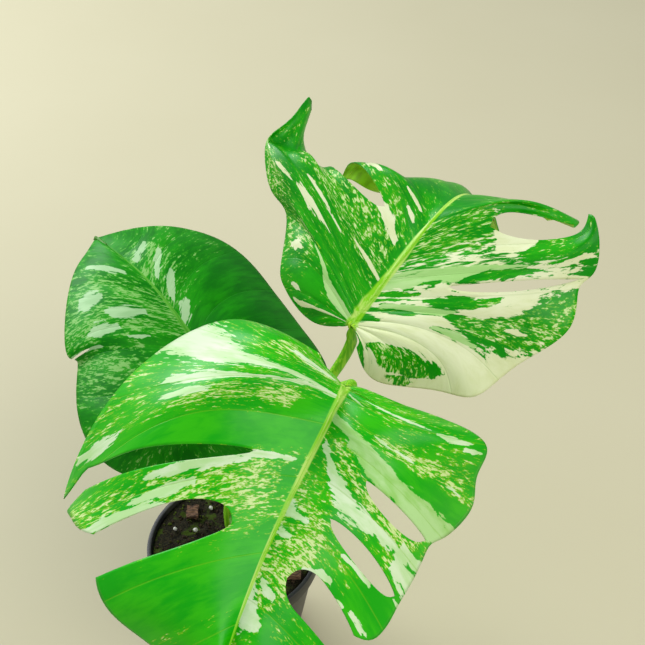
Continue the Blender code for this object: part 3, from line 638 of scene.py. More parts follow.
# %% leaf skin
def leaf_skin(name, greens, creams, pales, specks, roughness, seed, busy=0.0, vein=0.30,
              spine_tones=((0.24, 0.62, 0.01), (0.52, 0.76, 0.14)), gloss=0.2, stretch=1.0,
              ragged=2.2):
    """greens, creams, pales: two tones each. specks: yellow green and cream flecks."""
    g = Graph(name, roughness)
    veins = g.attribute("veins")
    rib = g.parts(g.attribute("rib"))
    paint = g.parts(g.attribute("paint"))
    shift = (seed * 3.1, seed * 1.7, 0)
    broad = g.noise(g.scaled(veins, 0.45, 0.25, 1, shift), 1.0, 3, 0.5)
    middle = g.noise(g.scaled(veins, 2.4, 0.55 * stretch, 1, shift), 1.0, 4, 0.6, 0.5)
    fine = g.noise(g.scaled(veins, 4.6, 1.15 * stretch, 1, shift), 1.0, 3, 0.62, 0.5)
    tiny = g.noise(g.scaled(veins, 11.0, 3.2, 1, shift), 1.0, 2, 0.5, 0.2)
    soft = g.math('SUBTRACT', broad, 0.5)
    rough = g.math('SUBTRACT', middle, 0.5)
    sharp = g.math('SUBTRACT', fine, 0.5)
    # green body in two tones
    tone = g.math('ADD', g.math('MULTIPLY', soft, 0.8), g.math('MULTIPLY', rough, 0.5))
    green = g.mix(g.ramp(tone, -0.14, 0.14), greens[0], greens[1])
    # flecks, thick in the lively stretches and gone in the calm ones
    quiet = g.math('MINIMUM', g.math('MULTIPLY', paint[2], 0.30), 0.0)
    stir = g.math('MULTIPLY', g.math('MAXIMUM', paint[2], 0.0), 0.13)
    lively = g.math('ADD', g.math('ADD', quiet, stir), 0.08 * busy)
    lively = g.math('ADD', lively, g.math('MULTIPLY', rough, 0.60))
    lively = g.math('ADD', lively, g.math('MULTIPLY', soft, 0.30))
    grain = g.math('MULTIPLY', g.math('SUBTRACT', tiny, 0.5), 0.6)
    fleck = g.math('ADD', g.math('ADD', sharp, grain), lively)
    green = g.mix(g.math('MULTIPLY', g.ramp(fleck, 0.10, 0.17), 0.85), green, specks[0])
    green = g.mix(g.ramp(fleck, 0.19, 0.26), green, specks[1])
    # sectors of cream and of pale green, with torn edges
    torn = g.math('ADD', g.math('MULTIPLY', rough, 2.2), g.math('MULTIPLY', sharp, ragged))
    pale = g.ramp(g.math('ADD', paint[1], g.math('MULTIPLY', torn, 0.6)), -0.06, 0.10)
    pale_tone = g.mix(g.ramp(tone, -0.12, 0.12), pales[0], pales[1])
    colour = g.mix(pale, green, pale_tone)
    cream = g.ramp(g.math('ADD', paint[0], torn), -0.05, 0.12)
    cream_tone = g.mix(g.ramp(tone, -0.12, 0.12), creams[0], creams[1])
    colour = g.mix(cream, colour, cream_tone)
    # the midrib and the side veins are paler
    off = g.math('SUBTRACT', g.math('FRACT', g.math('ADD', rib[0], 0.5)), 0.5)
    off = g.math('MULTIPLY', g.math('ABSOLUTE', off), rib[2])
    line = g.math('SUBTRACT', 1.0, g.ramp(off, 0.10, 0.60))
    spine = g.math('SUBTRACT', 1.0, g.ramp(rib[1], 0.75, 1.25))
    colour = g.mix(g.math('MULTIPLY', line, vein), colour, specks[0])
    streak = g.noise(g.scaled(veins, 0.25, 3.5, 1, shift), 1.0, 2)
    rail = g.mix(g.ramp(streak, 0.42, 0.60), spine_tones[0], spine_tones[1])
    colour = g.mix(g.math('MULTIPLY', spine, 0.92), colour, rail)
    height = g.math('SUBTRACT', g.math('MULTIPLY', middle, 0.6), line)
    height = g.math('ADD', height, g.math('MULTIPLY', fine, 0.35))
    return g.finish(colour, bump=height, strength=0.30, depth=0.0005,
                    Specular_IOR_Level=gloss)


def leaf_under(name, colour, veins_colour):
    """The plain underside, a little mottled, with pale veins."""
    g = Graph(name, 0.55)
    rib = g.parts(g.attribute("rib"))
    off = g.math('SUBTRACT', g.math('FRACT', g.math('ADD', rib[0], 0.5)), 0.5)
    off = g.math('MULTIPLY', g.math('ABSOLUTE', off), rib[2])
    line = g.math('SUBTRACT', 1.0, g.ramp(off, 0.2, 0.8))
    mottle = g.noise(g.scaled(g.attribute("veins"), 2.0, 0.4, 1), 1.0, 3)
    body = g.mix(g.ramp(mottle, 0.4, 0.6), colour, tuple(c * 1.35 for c in colour))
    return g.finish(g.mix(g.math('MULTIPLY', line, 0.6), body, veins_colour), bump=line,
                    strength=0.5, depth=0.0006)


# %% [markdown]
# ## Front blade
# The largest leaf hangs towards the viewer, with deep splits and closed holes. One half has a
# cream sweep over its big lobe and solid green below it. The other has a pale green band, a
# white band and speckled lobes. Each stroke is a half, a kind and a path of (s, t, half width).

# %% front blade
FRONT_RIBS = dict(right=[0, 1, 2, 3, 4, 5, 6, 7, 8, 9],
                  left=[0, 1, 2, 3, 4.4, 6.2, 7.1, 8, 9, 10, 11])
FRONT_PAINT = [
    # the half with the big lobe: a cream sweep, blotches and streaks
    (R, CREAM, [(.02, 2.90, .09), (.15, 2.75, .11), (.30, 2.55, .10), (.45, 2.45, .13),
                (.60, 2.42, .20), (.75, 2.32, .30), (.90, 2.18, .34), (1.1, 2.05, .34)]),
    (R, CREAM, [(.48, 2.95, .06), (.58, 2.95, .14), (.70, 2.95, .14), (.78, 2.90, .06)]),
    (R, CREAM, [(.20, 2.98, .06), (.35, 2.98, .06), (.50, 3.00, .05)]),
    (R, CREAM, [(.03, 3.00, .06), (.12, 2.95, .09), (.24, 2.88, .06)]),
    (R, CREAM, [(.56, 3.36, .07), (.64, 3.32, .13), (.71, 3.30, .06)]),
    (R, CREAM, [(.84, 3.70, .08), (.90, 3.65, .13), (.97, 3.60, .08)]),
    (R, CREAM, [(.10, 1.60, .12), (.30, 1.50, .16), (.45, 1.45, .10)]),
    (R, CREAM, [(.28, 4.78, .05), (.40, 4.80, .08), (.55, 4.80, .09), (.68, 4.82, .04)]),
    (R, CREAM, [(.50, 5.00, .05), (.60, 5.05, .08), (.75, 5.08, .04)]),
    (R, CREAM, [(.07, 4.72, .04), (.20, 4.70, .06), (.30, 4.72, .04)]),
    (R, CREAM, [(.62, 5.20, .04), (.75, 5.20, .08), (.88, 5.20, .08), (.96, 5.22, .04)]),
    (R, CALM, [(-.1, 4.10, .35), (.20, 4.28, .33), (.50, 4.28, .35), (.72, 4.10, .35),
               (.90, 4.00, .20)]),
    (R, CALM, [(-.1, 3.40, .30), (.10, 3.60, .40), (.20, 3.75, .30), (.26, 3.80, .10)]),
    (R, CALM, [(-.1, 6.30, .55), (.50, 6.35, .70), (1.1, 6.45, .95)]),
    (R, CALM, [(-.1, 7.30, .60), (1.1, 7.30, .60)]),
    (R, CALM, [(-.1, 8.10, .50), (1.1, 8.10, .50)]),
    (R, BUSY, [(.05, 1.50, .60), (.60, 1.40, .60)]),
    (R, BUSY, [(.20, 3.40, .40), (.55, 3.45, .40), (.62, 3.40, .30)]),
    (R, BUSY, [(.10, 5.10, .50), (.50, 5.10, .40), (1.1, 5.10, .40)]),
    # the other half: a pale green band, a white band, and speckled lobes
    (L, PALE, [(.01, 5.10, .45), (.10, 5.30, .45), (.20, 5.62, .52), (.40, 6.08, .42),
               (.60, 6.22, .34), (.80, 6.20, .36), (1.1, 6.10, .42)]),
    (L, CREAM, [(.06, 6.45, .10), (.20, 6.93, .18), (.40, 7.26, .22), (.60, 7.24, .13),
                (.80, 7.18, .09), (.88, 7.20, .12)]),
    (L, CREAM, [(.84, 7.05, .06), (.92, 7.05, .09), (1.1, 7.05, .09)]),
    (L, CREAM, [(.84, 7.35, .15), (.92, 7.35, .18), (1.1, 7.35, .18)]),
    (L, CREAM, [(.20, 2.30, .08), (.35, 2.60, .12), (.50, 2.76, .09), (.63, 2.86, .05)]),
    (L, CREAM, [(.06, 2.60, .12), (.12, 2.85, .10), (.16, 3.00, .05)]),
    (L, CREAM, [(.35, 4.50, .10), (.42, 4.68, .16), (.47, 4.80, .06)]),
    (L, CREAM, [(.50, 4.60, .06), (.56, 4.68, .10), (.61, 4.70, .05)]),
    (L, CREAM, [(.69, 3.02, .08), (.76, 3.12, .18), (.83, 3.10, .12), (.89, 3.10, .05)]),
    (L, CREAM, [(.87, 3.35, .06), (.92, 3.35, .10), (.96, 3.35, .05)]),
    (L, CREAM, [(.82, 4.85, .06), (.86, 4.85, .10), (.90, 4.85, .05)]),
    (L, CREAM, [(.40, 8.36, .03), (.52, 8.24, .05), (.60, 8.22, .03)]),
    (L, CREAM, [(.58, 8.34, .03), (.66, 8.34, .05), (.74, 8.32, .03)]),
    (L, CREAM, [(.83, 8.25, .03), (.88, 8.25, .05), (.94, 8.25, .03)]),
    (L, CREAM, [(.58, 7.90, .03), (.68, 7.88, .04), (.78, 7.86, .03)]),
    (L, CREAM, [(.94, 7.68, .03), (1.1, 7.66, .04)]),
    (L, CREAM, [(.02, 7.70, .10), (.10, 7.80, .09), (.22, 7.85, .05)]),
    (L, CREAM, [(.04, 8.05, .06), (.10, 8.10, .06), (.15, 8.12, .03)]),
    (L, CREAM, [(.01, 9.00, .28), (.10, 9.15, .25), (.20, 9.20, .14), (.30, 9.22, .06)]),
    (L, CREAM, [(.10, 8.72, .05), (.20, 8.76, .07), (.30, 8.80, .05)]),
    (L, CALM, [(.50, 5.50, .30), (.80, 5.50, .35), (1.1, 5.40, .35)]),
    (L, CALM, [(.10, 3.60, .40), (.30, 3.90, .35), (.45, 4.00, .20)]),
    (L, BUSY, [(.35, 4.60, .50), (.60, 4.60, .60), (.92, 4.60, .50)]),
    (L, BUSY, [(-.1, 8.40, 1.2), (.35, 8.30, .9), (.45, 8.30, .1)]),
    (L, CALM, [(.75, 8.10, .45), (1.1, 8.10, .60)]),
    (L, CALM, [(.30, 9.80, .40), (1.1, 9.60, .80)]),
    (L, BUSY, [(.10, 6.50, .50), (.90, 7.00, .50)]),
]
upper = leaf_skin("front_blade_upper",
                  greens=[(0.004, 0.370, 0.0002), (0.030, 0.470, 0.0005)],
                  creams=[(0.46, 0.70, 0.30), (0.66, 0.80, 0.52)],
                  pales=[(0.30, 0.60, 0.14), (0.44, 0.70, 0.28)],
                  specks=[(0.22, 0.52, 0.01), (0.60, 0.76, 0.30)], roughness=0.32, seed=1.0,
                  busy=0.5, gloss=0.22)
lower = leaf_under("front_blade_under", (0.14, 0.40, 0.004), (0.30, 0.52, 0.06))
make_blade("front_blade", "leaf_front", FRONT, FRONT_RIBS, FRONT_PAINT, upper, lower)

# %% [markdown]
# ## Right blade
# This leaf stands up behind the others. One half is mostly cream with torn green patches, the
# other green with cream streaks. Its far lobes curl over and show their underside, which is
# painted a bright yellow green that stands for daylight shining through the thin leaf.

# %% right blade
RIGHT_RIBS = dict(right=[0, 1, 2, 3.3, 4.6, 5.8, 7, 8, 9, 10.3, 11.3, 12.2, 13.1, 14],
                  left=[0, 1, 2, 3, 4, 5.5, 7.5, 10, 12, 13, 14, 15, 16, 17])
RIGHT_PAINT = [
    # cream half with green patches
    (R, CREAM, [(-.1, 3.00, 5.4), (.10, 3.00, 5.5), (.50, 3.00, 6.0), (1.1, 3.00, 5.6)]),
    (R, PALE, [(.03, 7.85, .55), (.20, 7.95, .50), (.40, 7.95, .35), (.60, 8.05, .20)]),
    (R, PALE, [(.08, 6.15, .35), (.25, 6.00, .35), (.42, 5.85, .20)]),
    (R, PALE, [(.45, 4.90, .12), (.60, 4.85, .20), (.72, 4.80, .08)]),
    (R, CREAM, [(.18, 7.50, .12), (.30, 7.45, .20), (.45, 7.45, .20)]),
    (R, GREEN, [(-.1, 11.2, 2.6), (.25, 11.2, 2.55), (.34, 11.2, 2.3), (.38, 11.2, 1.8)]),
    (R, GREEN, [(.36, 11.6, 2.2), (1.1, 11.6, 2.2)]),
    (R, CREAM, [(.36, 9.10, .40), (.44, 9.00, .45), (.50, 8.95, .30)]),
    (R, GREEN, [(.49, 8.70, .20), (.56, 9.00, .80), (.75, 9.00, .85), (.88, 9.00, .95),
                (1.1, 9.00, 1.1)]),
    (R, CREAM, [(.80, 8.20, .05), (.88, 8.25, .08), (.94, 8.25, .04)]),
    (R, GREEN, [(.90, 7.75, .06), (.95, 7.78, .12), (1.1, 7.75, .12)]),
    (R, GREEN, [(.38, 7.72, .12), (.44, 7.82, .26), (.54, 7.85, .20), (.68, 7.90, .10)]),
    (R, GREEN, [(.20, 7.62, .08), (.25, 7.60, .14), (.29, 7.58, .06)]),
    (R, GREEN, [(.03, 7.10, .14), (.10, 7.15, .14), (.19, 7.10, .08)]),
    (R, GREEN, [(.02, 6.60, .12), (.08, 6.75, .11), (.16, 6.80, .06)]),
    (R, GREEN, [(.02, 5.95, .22), (.12, 5.82, .20), (.22, 5.62, .22), (.27, 5.56, .12)]),
    (R, GREEN, [(.01, 5.00, .55), (.06, 4.95, .45), (.12, 4.80, .20)]),
    (R, GREEN, [(.26, 6.72, .15), (.33, 6.60, .42), (.42, 6.50, .45), (.50, 6.55, .36),
                (.58, 6.72, .16)]),
    (R, GREEN, [(.43, 5.72, .15), (.50, 5.58, .26), (.60, 5.45, .36), (.70, 5.50, .55),
                (.80, 5.80, .90), (.90, 6.00, .95), (1.02, 6.30, .70)]),
    (R, CREAM, [(.52, 6.20, .14), (.60, 6.15, .22), (.68, 6.15, .10)]),
    (R, CREAM, [(.76, 5.60, .06), (.80, 5.60, .12), (.84, 5.60, .06)]),
    (R, GREEN, [(.36, 1.50, .35), (.46, 1.75, .75), (.60, 2.00, .85), (.74, 2.20, .85),
                (.82, 2.40, .65), (.86, 2.50, .30)]),
    (R, CREAM, [(.45, 1.15, .10), (.60, 1.20, .14), (.75, 1.30, .10)]),
    (R, GREEN, [(.74, 2.70, .15), (.82, 2.80, .16), (.85, 2.85, .06)]),
    (R, GREEN, [(.88, 1.95, .25), (.93, 2.05, .30), (.97, 2.05, .20)]),
    (R, GREEN, [(.10, 0.30, .45), (1.1, 0.30, .40)]),
    (R, BUSY, [(-.1, 9.6, 1.2), (.40, 9.6, 1.0)]),
    (R, BUSY, [(.50, 5.80, 1.1), (1.1, 6.00, 1.1)]),
    (R, BUSY, [(.30, 1.80, 1.2), (1.0, 1.80, 1.2)]),
    (R, CALM, [(-.1, 12.8, 1.4), (1.1, 12.8, 1.4)]),
    # green half with cream streaks
    (L, CREAM, [(.25, 6.60, .10), (.33, 6.50, .32), (.42, 6.30, .34), (.47, 6.30, .10)]),
    (L, CREAM, [(.73, 3.40, .10), (.80, 3.40, .17), (.86, 3.40, .08)]),
    (L, PALE, [(-.1, 3.00, .50), (.10, 2.90, .50), (.20, 2.80, .45), (.32, 3.00, .30),
               (.42, 3.50, .15), (.55, 3.90, .10)]),
    (L, CREAM, [(.70, 2.15, .08), (.75, 2.18, .14), (.80, 2.20, .06)]),
    (L, CREAM, [(.10, 1.40, .20), (.50, 1.50, .14), (.90, 1.60, .12)]),
    (L, CREAM, [(.04, 10.4, .25), (.10, 10.5, .40), (.16, 10.5, .20)]),
    (L, CREAM, [(.10, 12.5, .08), (.18, 12.55, .14), (.27, 12.58, .12)]),
    (L, CREAM, [(.12, 13.2, .06), (.16, 13.2, .12), (.20, 13.2, .06)]),
    (L, CREAM, [(.20, 13.7, .06), (.28, 13.7, .12), (.36, 13.6, .08)]),
    (L, CREAM, [(.48, 13.0, .06), (.54, 13.0, .14), (.60, 13.0, .08)]),
    (L, CREAM, [(.55, 6.30, .08), (.62, 6.25, .16), (.70, 6.20, .08)]),
    (L, CREAM, [(.72, 6.80, .08), (.78, 6.80, .20), (.86, 6.80, .10)]),
    (L, CREAM, [(.22, 8.50, .10), (.30, 8.60, .22), (.38, 8.60, .10)]),
    (L, CREAM, [(.40, 4.60, .06), (.48, 4.60, .12), (.58, 4.60, .06)]),
    (L, CALM, [(.40, 2.40, .45), (.68, 2.50, .45)]),
    (L, CALM, [(.05, 4.60, .50), (.30, 5.00, .50)]),
    (L, BUSY, [(.05, 11.0, 2.5), (.60, 11.0, 2.5)]),
    (L, BUSY, [(.60, 5.00, 2.5), (1.1, 5.00, 2.5)]),
]
upper = leaf_skin("right_blade_upper",
                  greens=[(0.001, 0.240, 0.0002), (0.014, 0.350, 0.0005)],
                  creams=[(0.66, 0.70, 0.38), (0.74, 0.77, 0.48)],
                  pales=[(0.34, 0.60, 0.18), (0.44, 0.66, 0.26)],
                  specks=[(0.14, 0.44, 0.01), (0.54, 0.70, 0.28)], roughness=0.34, seed=2.0,
                  busy=-0.1, vein=0.10, stretch=1.5, ragged=0.9)
# painted glow: this underside green is set about twice as bright as a plain underside, standing for
# daylight shining through the leaf from behind
lower = leaf_under("right_blade_under_painted_glow", (0.27, 0.56, 0.002), (0.42, 0.66, 0.02))
make_blade("right_blade", "leaf_right", RIGHT, RIGHT_RIBS, RIGHT_PAINT, upper, lower)

# %% [markdown]
# ## Back blade
# The plainest leaf lies flat and low. All its tones, cream and flecks included, are set darker
# than the front blade's. It has one short split and clusters of pale flecks beside the midrib.

# %% back blade
BACK_RIBS = dict(right=[0, 1, 2, 3, 4, 5, 6, 7, 8], left=[0, 1, 2, 3, 4, 5, 6, 7, 8, 9])
BACK_PAINT = [
    (L, CREAM, [(.48, 6.00, .08), (.58, 5.95, .22), (.66, 5.95, .20), (.73, 6.00, .06)]),
    (L, CREAM, [(.24, 6.40, .08), (.35, 6.35, .16), (.45, 6.35, .17), (.53, 6.40, .06)]),
    (L, CREAM, [(.58, 6.70, .08), (.70, 6.65, .18), (.80, 6.65, .10)]),
    (L, CREAM, [(.70, 5.30, .08), (.85, 5.40, .12), (1.1, 5.58, .12)]),
    (L, CREAM, [(.30, 5.50, .05), (.36, 5.48, .10), (.42, 5.48, .05)]),
    (L, CREAM, [(.30, 7.45, .06), (.50, 7.40, .10), (.80, 7.40, .05)]),
    (R, CREAM, [(.10, 5.20, .10), (.20, 5.35, .20), (.32, 5.45, .10)]),
    (R, CREAM, [(.14, 5.80, .08), (.30, 5.95, .16), (.45, 6.10, .10)]),
    (R, CREAM, [(.04, 4.60, .15), (.12, 4.65, .22), (.20, 4.70, .10)]),
    (R, CREAM, [(.10, 6.60, .10), (.30, 6.70, .14), (.50, 6.80, .08)]),
    (R, CALM, [(-.1, 2.50, 2.0), (.25, 3.20, 1.6), (1.1, 3.50, 2.0)]),
    (R, BUSY, [(-.1, 6.00, 1.3), (.50, 6.30, 1.2)]),
    (L, BUSY, [(-.1, 6.50, 1.2), (1.1, 6.50, 1.2)]),
    (L, BUSY, [(.40, 4.60, .80), (1.1, 4.60, .90)]),
]
# every tone here, cream and flecks included, is set darker than on the front blade
upper = leaf_skin("back_blade_upper",
                  greens=[(0.001, 0.175, 0.0003), (0.010, 0.290, 0.001)],
                  creams=[(0.30, 0.52, 0.24), (0.40, 0.62, 0.32)],
                  pales=[(0.20, 0.40, 0.14), (0.26, 0.46, 0.18)],
                  specks=[(0.03, 0.32, 0.004), (0.22, 0.50, 0.12)], roughness=0.42, seed=3.0,
                  busy=0.4, vein=0.05, gloss=0.15,
                  spine_tones=((0.05, 0.30, 0.01), (0.12, 0.42, 0.04)))
lower = leaf_under("back_blade_under", (0.05, 0.20, 0.01), (0.20, 0.36, 0.08))
make_blade("back_blade", "leaf_back", BACK, BACK_RIBS, BACK_PAINT, upper, lower)

# %% [markdown]
# ## Leaf stalks
# Each leaf stands on a smooth round stalk. Its foot is the thickest part, and just below the
# blade there is a knee, where the stalk turns and runs into the midrib. A stalk is a curve
# through its bends with a round bevel, made into a mesh. Its skin is streaked lengthwise.

# %% leaf stalks
GAP = 0.0003
CROWN = 0.1065                              # the top of the mix, at the stem
STEM = (0.006, -0.004)
STEM_R = 0.0075
FOOT_R, STALK_R, KNEE_R, TIP_R = 0.0052, 0.0031, 0.0036, 0.0013
CORD = 0.001                                # bevel of a curve whose radius is 1


def cord(name, points, radii, smooth=10):
    """A round cord along a smooth curve through the points."""
    bpy.ops.object.select_all(action='DESELECT')
    bpy.ops.curve.primitive_bezier_curve_add()
    ob = bpy.context.object
    ob.name = name
    spline = ob.data.splines[0]
    spline.bezier_points.add(len(points) - 2)
    for knot, at, r in zip(spline.bezier_points, points, radii):
        knot.co = at
        knot.radius = r / CORD
        knot.handle_left_type = knot.handle_right_type = 'AUTO'
    spline.resolution_u = smooth
    ob.data.bevel_depth = CORD
    ob.data.bevel_resolution = 6
    ob.data.use_fill_caps = True
    bpy.ops.object.convert(target='MESH')
    bpy.ops.object.shade_smooth()
    return bpy.context.object


def keep(ob, node, slot, *mats):
    """Finish a piece, and let it stand for its measured node."""
    wear(ob, *mats)
    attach(ob, ROOT)
    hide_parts(node)
    print(ob.name, len(ob.data.polygons), "faces")
    return ob


def stalk_skin(name, dark, light, seed):
    g = Graph(name, 0.38)
    long = g.noise(g.scaled(g.place(), 900, 900, 28, (seed, seed, 0)), 1.0, 3)
    patch = g.noise(g.scaled(g.place(), 60, 60, 25, (seed, 0, seed)), 1.0, 3)
    colour = g.mix(g.ramp(long, 0.42, 0.62), dark, light)
    colour = g.mix(g.math('MULTIPLY', g.ramp(patch, 0.5, 0.7), 0.5), colour, light)
    return g.finish(colour, bump=long, strength=0.2, depth=0.0003, Specular_IOR_Level=0.3)


def stalk(name, blade, foot, bends, tuck, mat, knee=0.0095):
    origin, axes = frame_of(blade)
    tip = [origin + np.array(p) @ axes for p in
           ((0, -knee, -0.0175), (0, -knee / 2, -0.0085), (0, tuck - GAP - TIP_R, tuck - RIB_T))]
    points = [foot, np.array(foot) + (0, 0, 0.014)] + list(bends) + tip
    radii = [FOOT_R, FOOT_R] + [STALK_R] * (len(points) - 5) + [KNEE_R, KNEE_R * 0.85, TIP_R]
    ob = cord(name + "_stalk", [tuple(p) for p in points], radii)
    keep(ob, "petiole_" + name, "petiole_skin", mat)


def foot_of(angle, rise):
    out = STEM_R + FOOT_R + GAP
    return (STEM[0] + out * cos(angle), STEM[1] + out * sin(angle), CROWN + rise)


green = stalk_skin("stalk_green", (0.13, 0.50, 0.002), (0.34, 0.68, 0.03), 0.0)
stalk("front", FRONT, foot_of(radians(-50), 0.0245),
      [(0.024, -0.020, CROWN + 0.075), (0.046, -0.034, CROWN + 0.150),
       (0.073, -0.049, CROWN + 0.215)], 0.0010, green, knee=0.0060)
stalk("right", RIGHT, (*STEM, CROWN + 0.0363),
      [(0.029, -0.006, CROWN + 0.095), (0.057, -0.012, CROWN + 0.160)], 0.0006, green)
stalk("back", BACK, foot_of(radians(125), 0.0155), [(0.002, 0.006, CROWN + 0.075)], 0.0004,
      green)

# %% [markdown]
# ## Pot
# A plain black nursery pot, moulded from thin plastic: a tapered wall, a band round the rim
# and four drain holes. It starts as a cone. Its top face is drawn out for the band, set in
# for the wall and pushed down to the floor, and the edges are bevelled.

# %% pot
POT_H, POT_R_TOP, POT_R_BASE = 0.108, 0.0655, 0.0470
WALL, BASE_T, BAND_H, BAND_OUT = 0.0016, 0.0022, 0.0120, 0.0014
DRAINS, DRAIN_R, DRAIN_RING = 4, 0.0040, 0.028


def grow(factor):
    """Widen or narrow the selected face about the pot's axis."""
    bpy.ops.transform.resize(value=(factor, factor, 1), center_override=(0, 0, 0))


bpy.ops.object.select_all(action='DESELECT')
r_band = POT_R_TOP - BAND_OUT - (POT_R_TOP - BAND_OUT - POT_R_BASE) * BAND_H / POT_H
low = POT_H - BAND_H
bpy.ops.mesh.primitive_cone_add(vertices=128, radius1=POT_R_BASE, radius2=r_band, depth=low,
                                location=(0, 0, low / 2))
pot = bpy.context.object
pot.name = "pot_shell"
bpy.ops.object.transform_apply(location=True, rotation=True, scale=True)
bpy.ops.object.mode_set(mode='EDIT')
bpy.ops.mesh.select_all(action='DESELECT')
bpy.ops.object.mode_set(mode='OBJECT')
for face in pot.data.polygons:
    face.select = face.center.z > low - 1e-5 and len(face.vertices) > 4
bpy.ops.object.mode_set(mode='EDIT')
bpy.context.tool_settings.mesh_select_mode = (False, False, True)


def pull(z, factor):
    """Draw the selected face out by z and to a new width."""
    bpy.ops.mesh.extrude_region_move(TRANSFORM_OT_translate={"value": (0, 0, z)})
    grow(factor)


pull(0.0006, POT_R_TOP / r_band)
pull(BAND_H - 0.0006, 1.0)
pull(0, (POT_R_TOP - BAND_OUT - WALL) / POT_R_TOP)
pull(BASE_T - POT_H, (POT_R_BASE - WALL) / (POT_R_TOP - BAND_OUT - WALL))
bpy.ops.object.mode_set(mode='OBJECT')
for k in range(DRAINS):
    turn = 2 * pi * (k + 0.5) / DRAINS
    bpy.ops.mesh.primitive_cylinder_add(vertices=32, radius=DRAIN_R, depth=0.01,
                                        location=(DRAIN_RING * cos(turn),
                                                  DRAIN_RING * sin(turn), 0))
    drill = bpy.context.object
    cut = pot.modifiers.new("drain", 'BOOLEAN')
    cut.object, cut.solver = drill, 'EXACT'
    bpy.context.view_layer.objects.active = pot
    bpy.ops.object.modifier_apply(modifier=cut.name)
    bpy.data.objects.remove(drill)
bevel = pot.modifiers.new("soft_edges", 'BEVEL')
bevel.width, bevel.segments, bevel.limit_method = 0.0004, 3, 'ANGLE'
bpy.ops.object.modifier_apply(modifier=bevel.name)
bpy.ops.object.select_all(action='DESELECT')
pot.select_set(True)
bpy.ops.object.shade_smooth_by_angle(angle=radians(35))
g = Graph("black_plastic", 0.45)
dust = g.noise(g.scaled(g.place(), 40, 40, 25), 1.0, 5)
scuff = g.noise(g.scaled(g.place(), 300, 300, 60), 1.0, 3)
colour = g.mix(g.ramp(dust, 0.45, 0.75), (0.012, 0.012, 0.013), (0.055, 0.050, 0.042))
keep(pot, "pot", "pot_plastic", g.finish(colour, bump=scuff, strength=0.15, depth=0.0003))

# %% [markdown]
# ## Potting mix
# Dark, damp mix fills the pot nearly to the rim. It is lumpy, and olive moss grows on it in
# small cushions. The mix is one grid wrapped into a plug, raised into lumps by noise, and
# hundreds of crumbs and moss tufts lie on it as small faceted balls.

# %% potting mix
SOIL_Z = SOIL_LEVEL
SOIL_R = POT_R_TOP - BAND_OUT - WALL - (SOIL_Z - POT_H) * -0.18 - 0.0008
TOP_SHARE = 0.9                             # rows of the grid that make the top
TAPER = 0.0165                              # how much narrower the plug is at its foot
CRUMBS = 520


def mix_height(x, y):
    r = min(1.0, (x * x + y * y) ** 0.5 / SOIL_R)
    lump = noise.noise(Vector((x, y, 0)) * 170) + 0.6 * noise.noise(Vector((x, y, 3)) * 420)
    return SOIL_Z + 0.0016 * (1 - r * r) + 0.0016 * lump * (1 - r ** 6)


TURNS, RINGS = 220, 60
bpy.ops.object.select_all(action='DESELECT')
bpy.ops.mesh.primitive_grid_add(x_subdivisions=TURNS, y_subdivisions=RINGS, size=1)
mix = bpy.context.object
mix.name = "mix_plug"
for v in mix.data.vertices:
    turn, out = 2 * pi * (v.co.x + 0.5), v.co.y + 0.5
    if out < TOP_SHARE:
        r = SOIL_R * out / TOP_SHARE
        v.co = (r * cos(turn), r * sin(turn), mix_height(r * cos(turn), r * sin(turn)))
    else:
        deep = (out - TOP_SHARE) / (1 - TOP_SHARE)
        r = SOIL_R - TAPER * deep
        v.co = (r * cos(turn), r * sin(turn), SOIL_Z - (SOIL_Z - BASE_T - GAP) * deep)
bpy.ops.object.mode_set(mode='EDIT')
bpy.ops.mesh.select_all(action='SELECT')
bpy.ops.mesh.remove_doubles(threshold=0.00002)
bpy.ops.mesh.fill_holes(sides=0)
bpy.ops.mesh.select_all(action='SELECT')
bpy.ops.mesh.normals_make_consistent(inside=False)
bpy.ops.object.mode_set(mode='OBJECT')
bpy.ops.object.shade_smooth()


def earth(name, tones, seed):
    g = Graph(name, 0.95)
    lump = g.noise(g.place(), 900, 4, 0.6)
    moss = g.noise(g.scaled(g.place(), 1, 1, 1, (seed, 0, 0)), 75, 4, 0.6)
    colour = g.mix(g.ramp(lump, 0.40, 0.62), tones[0], tones[1])
    colour = g.mix(g.ramp(moss, 0.50, 0.62), colour, tones[2])
    return g.finish(colour, bump=lump, strength=0.6, depth=0.0008, Specular_IOR_Level=0.2)


mix_dark = earth("mix_dark", [(0.004, 0.004, 0.002), (0.030, 0.024, 0.010),
                              (0.040, 0.065, 0.004)], 0.0)
keep(mix, "soil", "potting_mix", mix_dark)
crumb_dark = earth("crumb_dark", [(0.010, 0.007, 0.004), (0.060, 0.038, 0.020),
                                  (0.075, 0.110, 0.008)], 0.3)
rng = np.random.default_rng(7)
crumbs = []
for k in range(CRUMBS):
    turn, out = rng.uniform(0, 2 * pi), SOIL_R * 0.97 * rng.uniform(0, 1) ** 0.5
    x, y, size = out * cos(turn), out * sin(turn), rng.uniform(0.0006, 0.0017)
    if (x - STEM[0]) ** 2 + (y - STEM[1]) ** 2 < 0.010 ** 2:
        continue
    bpy.ops.mesh.primitive_ico_sphere_add(subdivisions=1, radius=size,
                                          location=(x, y, mix_height(x, y) + 0.2 * size),
                                          rotation=tuple(rng.uniform(0, 3, 3)),
                                          scale=tuple(rng.uniform(0.6, 1.3, 3)))
    crumbs.append(bpy.context.object)
bpy.ops.object.select_all(action='DESELECT')
for ob in crumbs:
    ob.select_set(True)
bpy.context.view_layer.objects.active = crumbs[0]
bpy.ops.object.join()
bpy.ops.object.transform_apply(location=True, rotation=True, scale=True)
crumbs = bpy.context.object
crumbs.name = "crumbs"
wear(crumbs, crumb_dark)
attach(crumbs, ROOT)
print("crumbs", len(crumbs.data.polygons), "faces")

# %% [markdown]
# ## Stem and aerial root
# The short stem carries the measured shape, with its two shoulders, and gets a skin of green
# with corky brown rings. The aerial root is a thin brown cord that bends into the mix.

